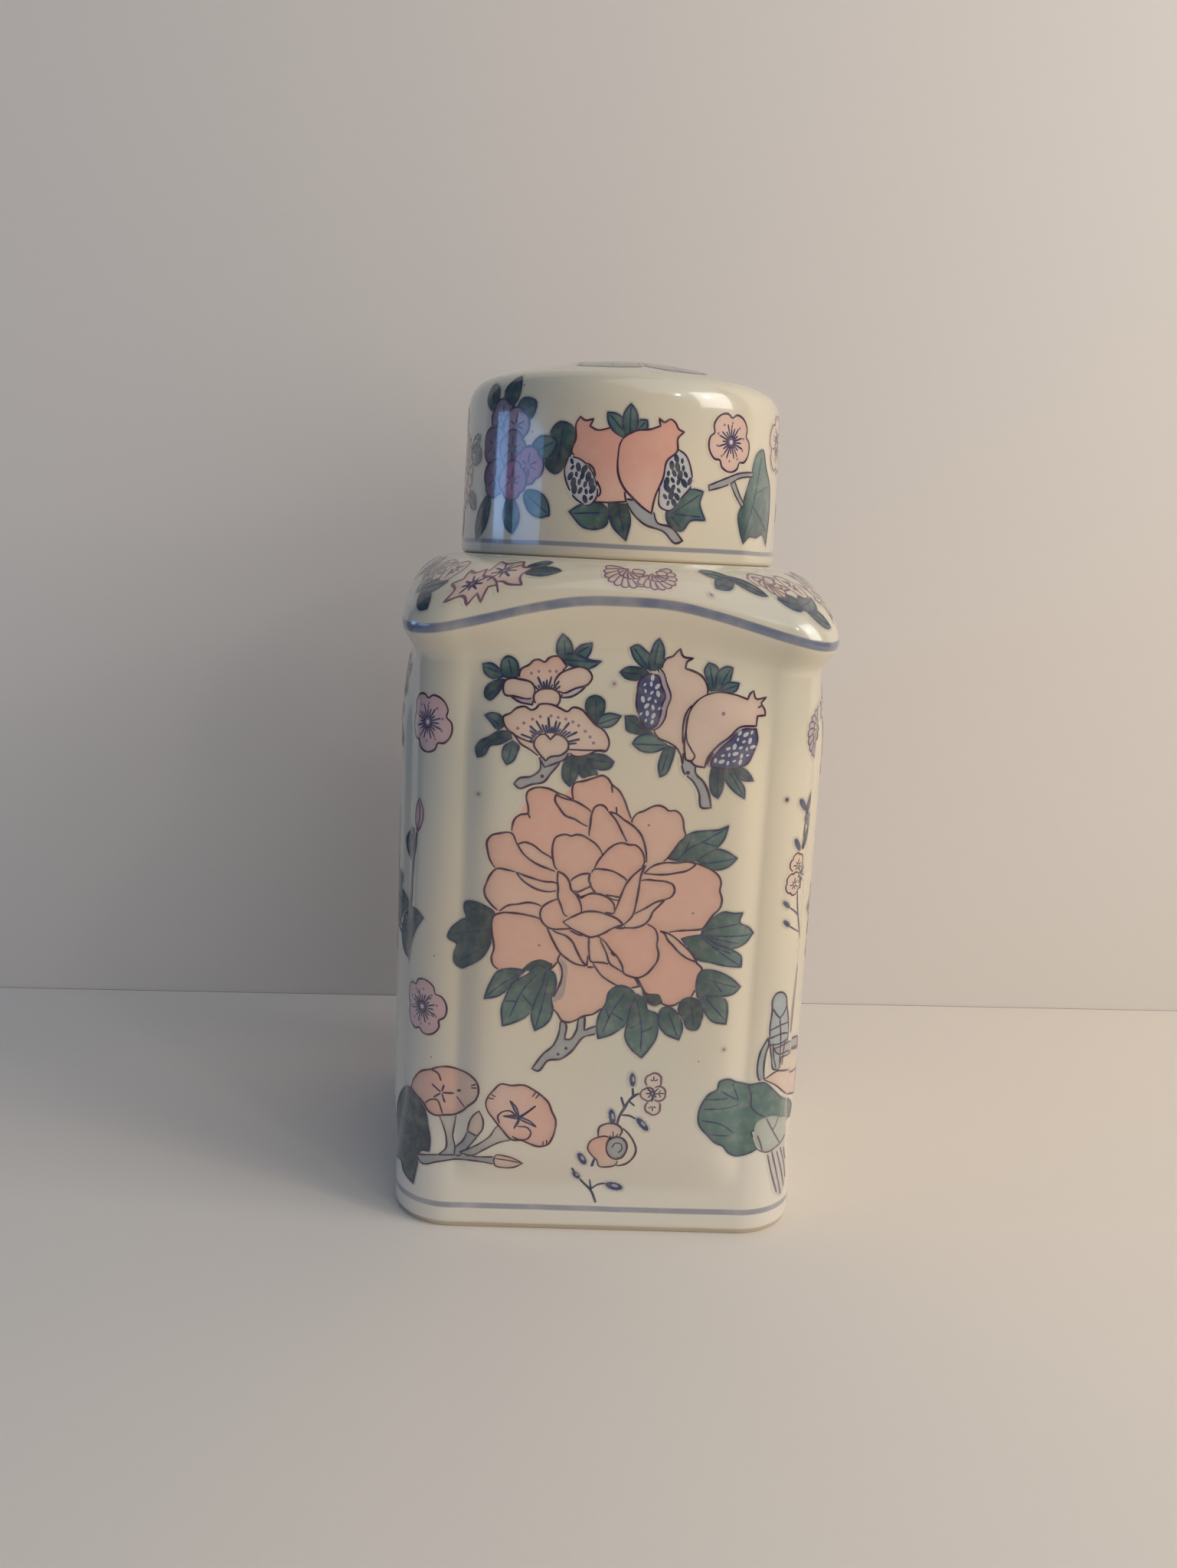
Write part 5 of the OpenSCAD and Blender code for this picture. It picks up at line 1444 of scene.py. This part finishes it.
dome_art = Transfer()
for angle in range(0, 181, 45):
    frond(dome_art, "leaf" if angle % 90 else "deep leaf", 13 * math.cos(math.radians(angle)),
          13 * math.sin(math.radians(angle)), angle + 8, 15, 8)
dome_art.heart = (0, 0)
dome_art.leaf("deep leaf", -12.5, -27, -8, -30, -3, -31, 1.5, -29, 2, -24, 0, -15, -6, -12, -11, -18,
              veins=[(-4, -13, -5, -29)])
dome_art.leaf("deep leaf", 4.5, -28.5, 9, -30.5, 14, -28.5, 18, -24.5, 16, -17, 9, -12, 5, -17,
              veins=[(8, -13, 12, -28)])
for count, far, radius, tone in [(9, 12.5, 5.6, "coral"), (7, 7.5, 4.6, "coral"),
                                 (5, 3.2, 3.4, "deep coral")]:
    for i in range(count):
        angle = 2 * math.pi * (i + 0.3 * radius) / count
        dome_art.wash(tone, *lobed(far * math.cos(angle), far * math.sin(angle), radius, 4, 0.12, angle))
dome_art.dot(0, 0, 1.6, "mauve")
lay_transfer("dome_transfer", dome_art, dome_ground, 0, "lid")
for helper in (wall_ground, slope_ground, side_ground, dome_ground):
    bpy.data.objects.remove(helper)

# The stage
# A plain pale shelf and wall, soft light from the right and from above, and a narrow window on the left.
# Sizes here are metres.
room_half = 1.5
wall_height = 1.6
wall_left = (-0.26, 0.107)
wall_right = (room_half, 0.18)
shelf_back_left = (-room_half, 0.055)
matt = 0.7


def painted_sheet(name, corners, tone):
    """A flat sheet with four corners, in matt paint."""
    mesh = bpy.data.meshes.new(name)
    mesh.from_pydata(corners, [], [(0, 1, 2, 3)])
    material = bpy.data.materials.new(name + "_paint")
    material.use_nodes = True
    material.node_tree.nodes["Principled BSDF"].inputs["Base Color"].default_value = tone
    material.node_tree.nodes["Principled BSDF"].inputs["Roughness"].default_value = matt
    mesh.materials.append(material)
    return new_object(name, mesh)


shelf = painted_sheet("shelf", [(-room_half, -room_half, 0), (room_half, -room_half, 0), (*wall_right, 0),
                                (*shelf_back_left, 0)], paint(236, 223, 208))
back_wall = painted_sheet("back_wall", [(*wall_left, 0), (*wall_right, 0), (*wall_right, wall_height),
                                        (*wall_left, wall_height)], paint(221, 211, 201))
# the wall has one side only, so that the back of the jar can be looked at through it
wall_tree = back_wall.data.materials[0].node_tree
one_side = wall_tree.nodes.new("ShaderNodeMixShader")
wall_tree.links.new(wall_tree.nodes.new("ShaderNodeNewGeometry").outputs["Backfacing"], one_side.inputs[0])
wall_tree.links.new(wall_tree.nodes["Principled BSDF"].outputs[0], one_side.inputs[1])
wall_tree.links.new(wall_tree.nodes.new("ShaderNodeBsdfTransparent").outputs[0], one_side.inputs[2])
wall_tree.links.new(one_side.outputs[0], wall_tree.nodes["Material Output"].inputs["Surface"])

scene = bpy.context.scene
scene.view_settings.view_transform = "Standard"
scene.world = bpy.data.worlds.new("room")
scene.world.use_nodes = True
scene.world.node_tree.nodes["Background"].inputs["Color"].default_value = (0.5, 0.75, 1.0, 1.0)
scene.world.node_tree.nodes["Background"].inputs["Strength"].default_value = 0.065


def soft_lamp(name, place, aim, wide, high, power, tone, glossy=True):
    """A flat lamp aimed at a point; without glossy it makes no shape in the glaze."""
    lamp = bpy.data.lights.new(name, "AREA")
    lamp.shape = "RECTANGLE"
    lamp.size = wide
    lamp.size_y = high
    lamp.energy = power
    lamp.color = tone
    item = bpy.data.objects.new(name, lamp)
    item.location = place
    item.rotation_euler = (Vector(aim) - Vector(place)).to_track_quat("-Z", "Y").to_euler()
    item.visible_glossy = glossy
    scene.collection.objects.link(item)


jar_middle = (0, 0, 0.1)
bulb_light = (1.0, 0.96, 0.93)
pane_light = (0.3, 0.55, 1.0)
soft_lamp("key_right", (0.75, -0.33, 0.6), jar_middle, 0.45, 0.45, 3.1, (1.0, 0.96, 0.92))
soft_lamp("bulb_right", (0.72, -0.4, 0.68), jar_middle, 0.07, 0.07, 0.4, bulb_light)
soft_lamp("bulb_front", (0.5, -0.66, 0.7), jar_middle, 0.05, 0.05, 0.3, bulb_light)
# the fill and the glow stand for light from a whole side of the room, and make no shape in the glaze
soft_lamp("front_fill", (0.75, -1.2, 0.25), jar_middle, 1.3, 0.9, 7.1, (1.0, 0.96, 0.91), glossy=False)
soft_lamp("window_glow", (-0.9, -0.3, 0.5), jar_middle, 0.8, 0.8, 0.85, (0.12, 0.37, 1.0), glossy=False)
soft_lamp("room_above", (0.5, -0.45, 1.3), (0, 0.05, 0), 1.4, 1.2, 4.3, (0.84, 0.94, 1.0))
soft_lamp("window_pane_near", (-0.6, -0.222, 0.24), (0, -0.222, 0.2), 0.276, 0.09, 0.24, pane_light)
soft_lamp("window_pane_far", (-0.6, 0.064, 0.24), (0, 0.064, 0.2), 0.127, 0.09, 0.15, pane_light)

# the camera looks slightly down and to the right, and was held a little askew
camera_place = (-0.0187, -0.3481, 0.1708)
pitch = math.radians(10.4)
pan = math.radians(2.3)
roll = math.radians(2.78)
ahead = Vector((math.sin(pan) * math.cos(pitch), math.cos(pan) * math.cos(pitch), -math.sin(pitch)))
level_right = Vector((math.cos(pan), -math.sin(pan), 0))
upward = level_right.cross(ahead)
right = level_right * math.cos(roll) + upward * math.sin(roll)
up = upward * math.cos(roll) - level_right * math.sin(roll)
camera_data = bpy.data.cameras.new("camera")
camera_data.sensor_fit = "VERTICAL"
camera_data.sensor_height = 36.0
camera_data.lens = 28.84
camera_data.clip_start = 0.01
camera = bpy.data.objects.new("camera", camera_data)
turn = Matrix((right, up, -ahead)).transposed().to_4x4()
camera.matrix_world = Matrix.Translation(camera_place) @ turn
scene.collection.objects.link(camera)
scene.camera = camera
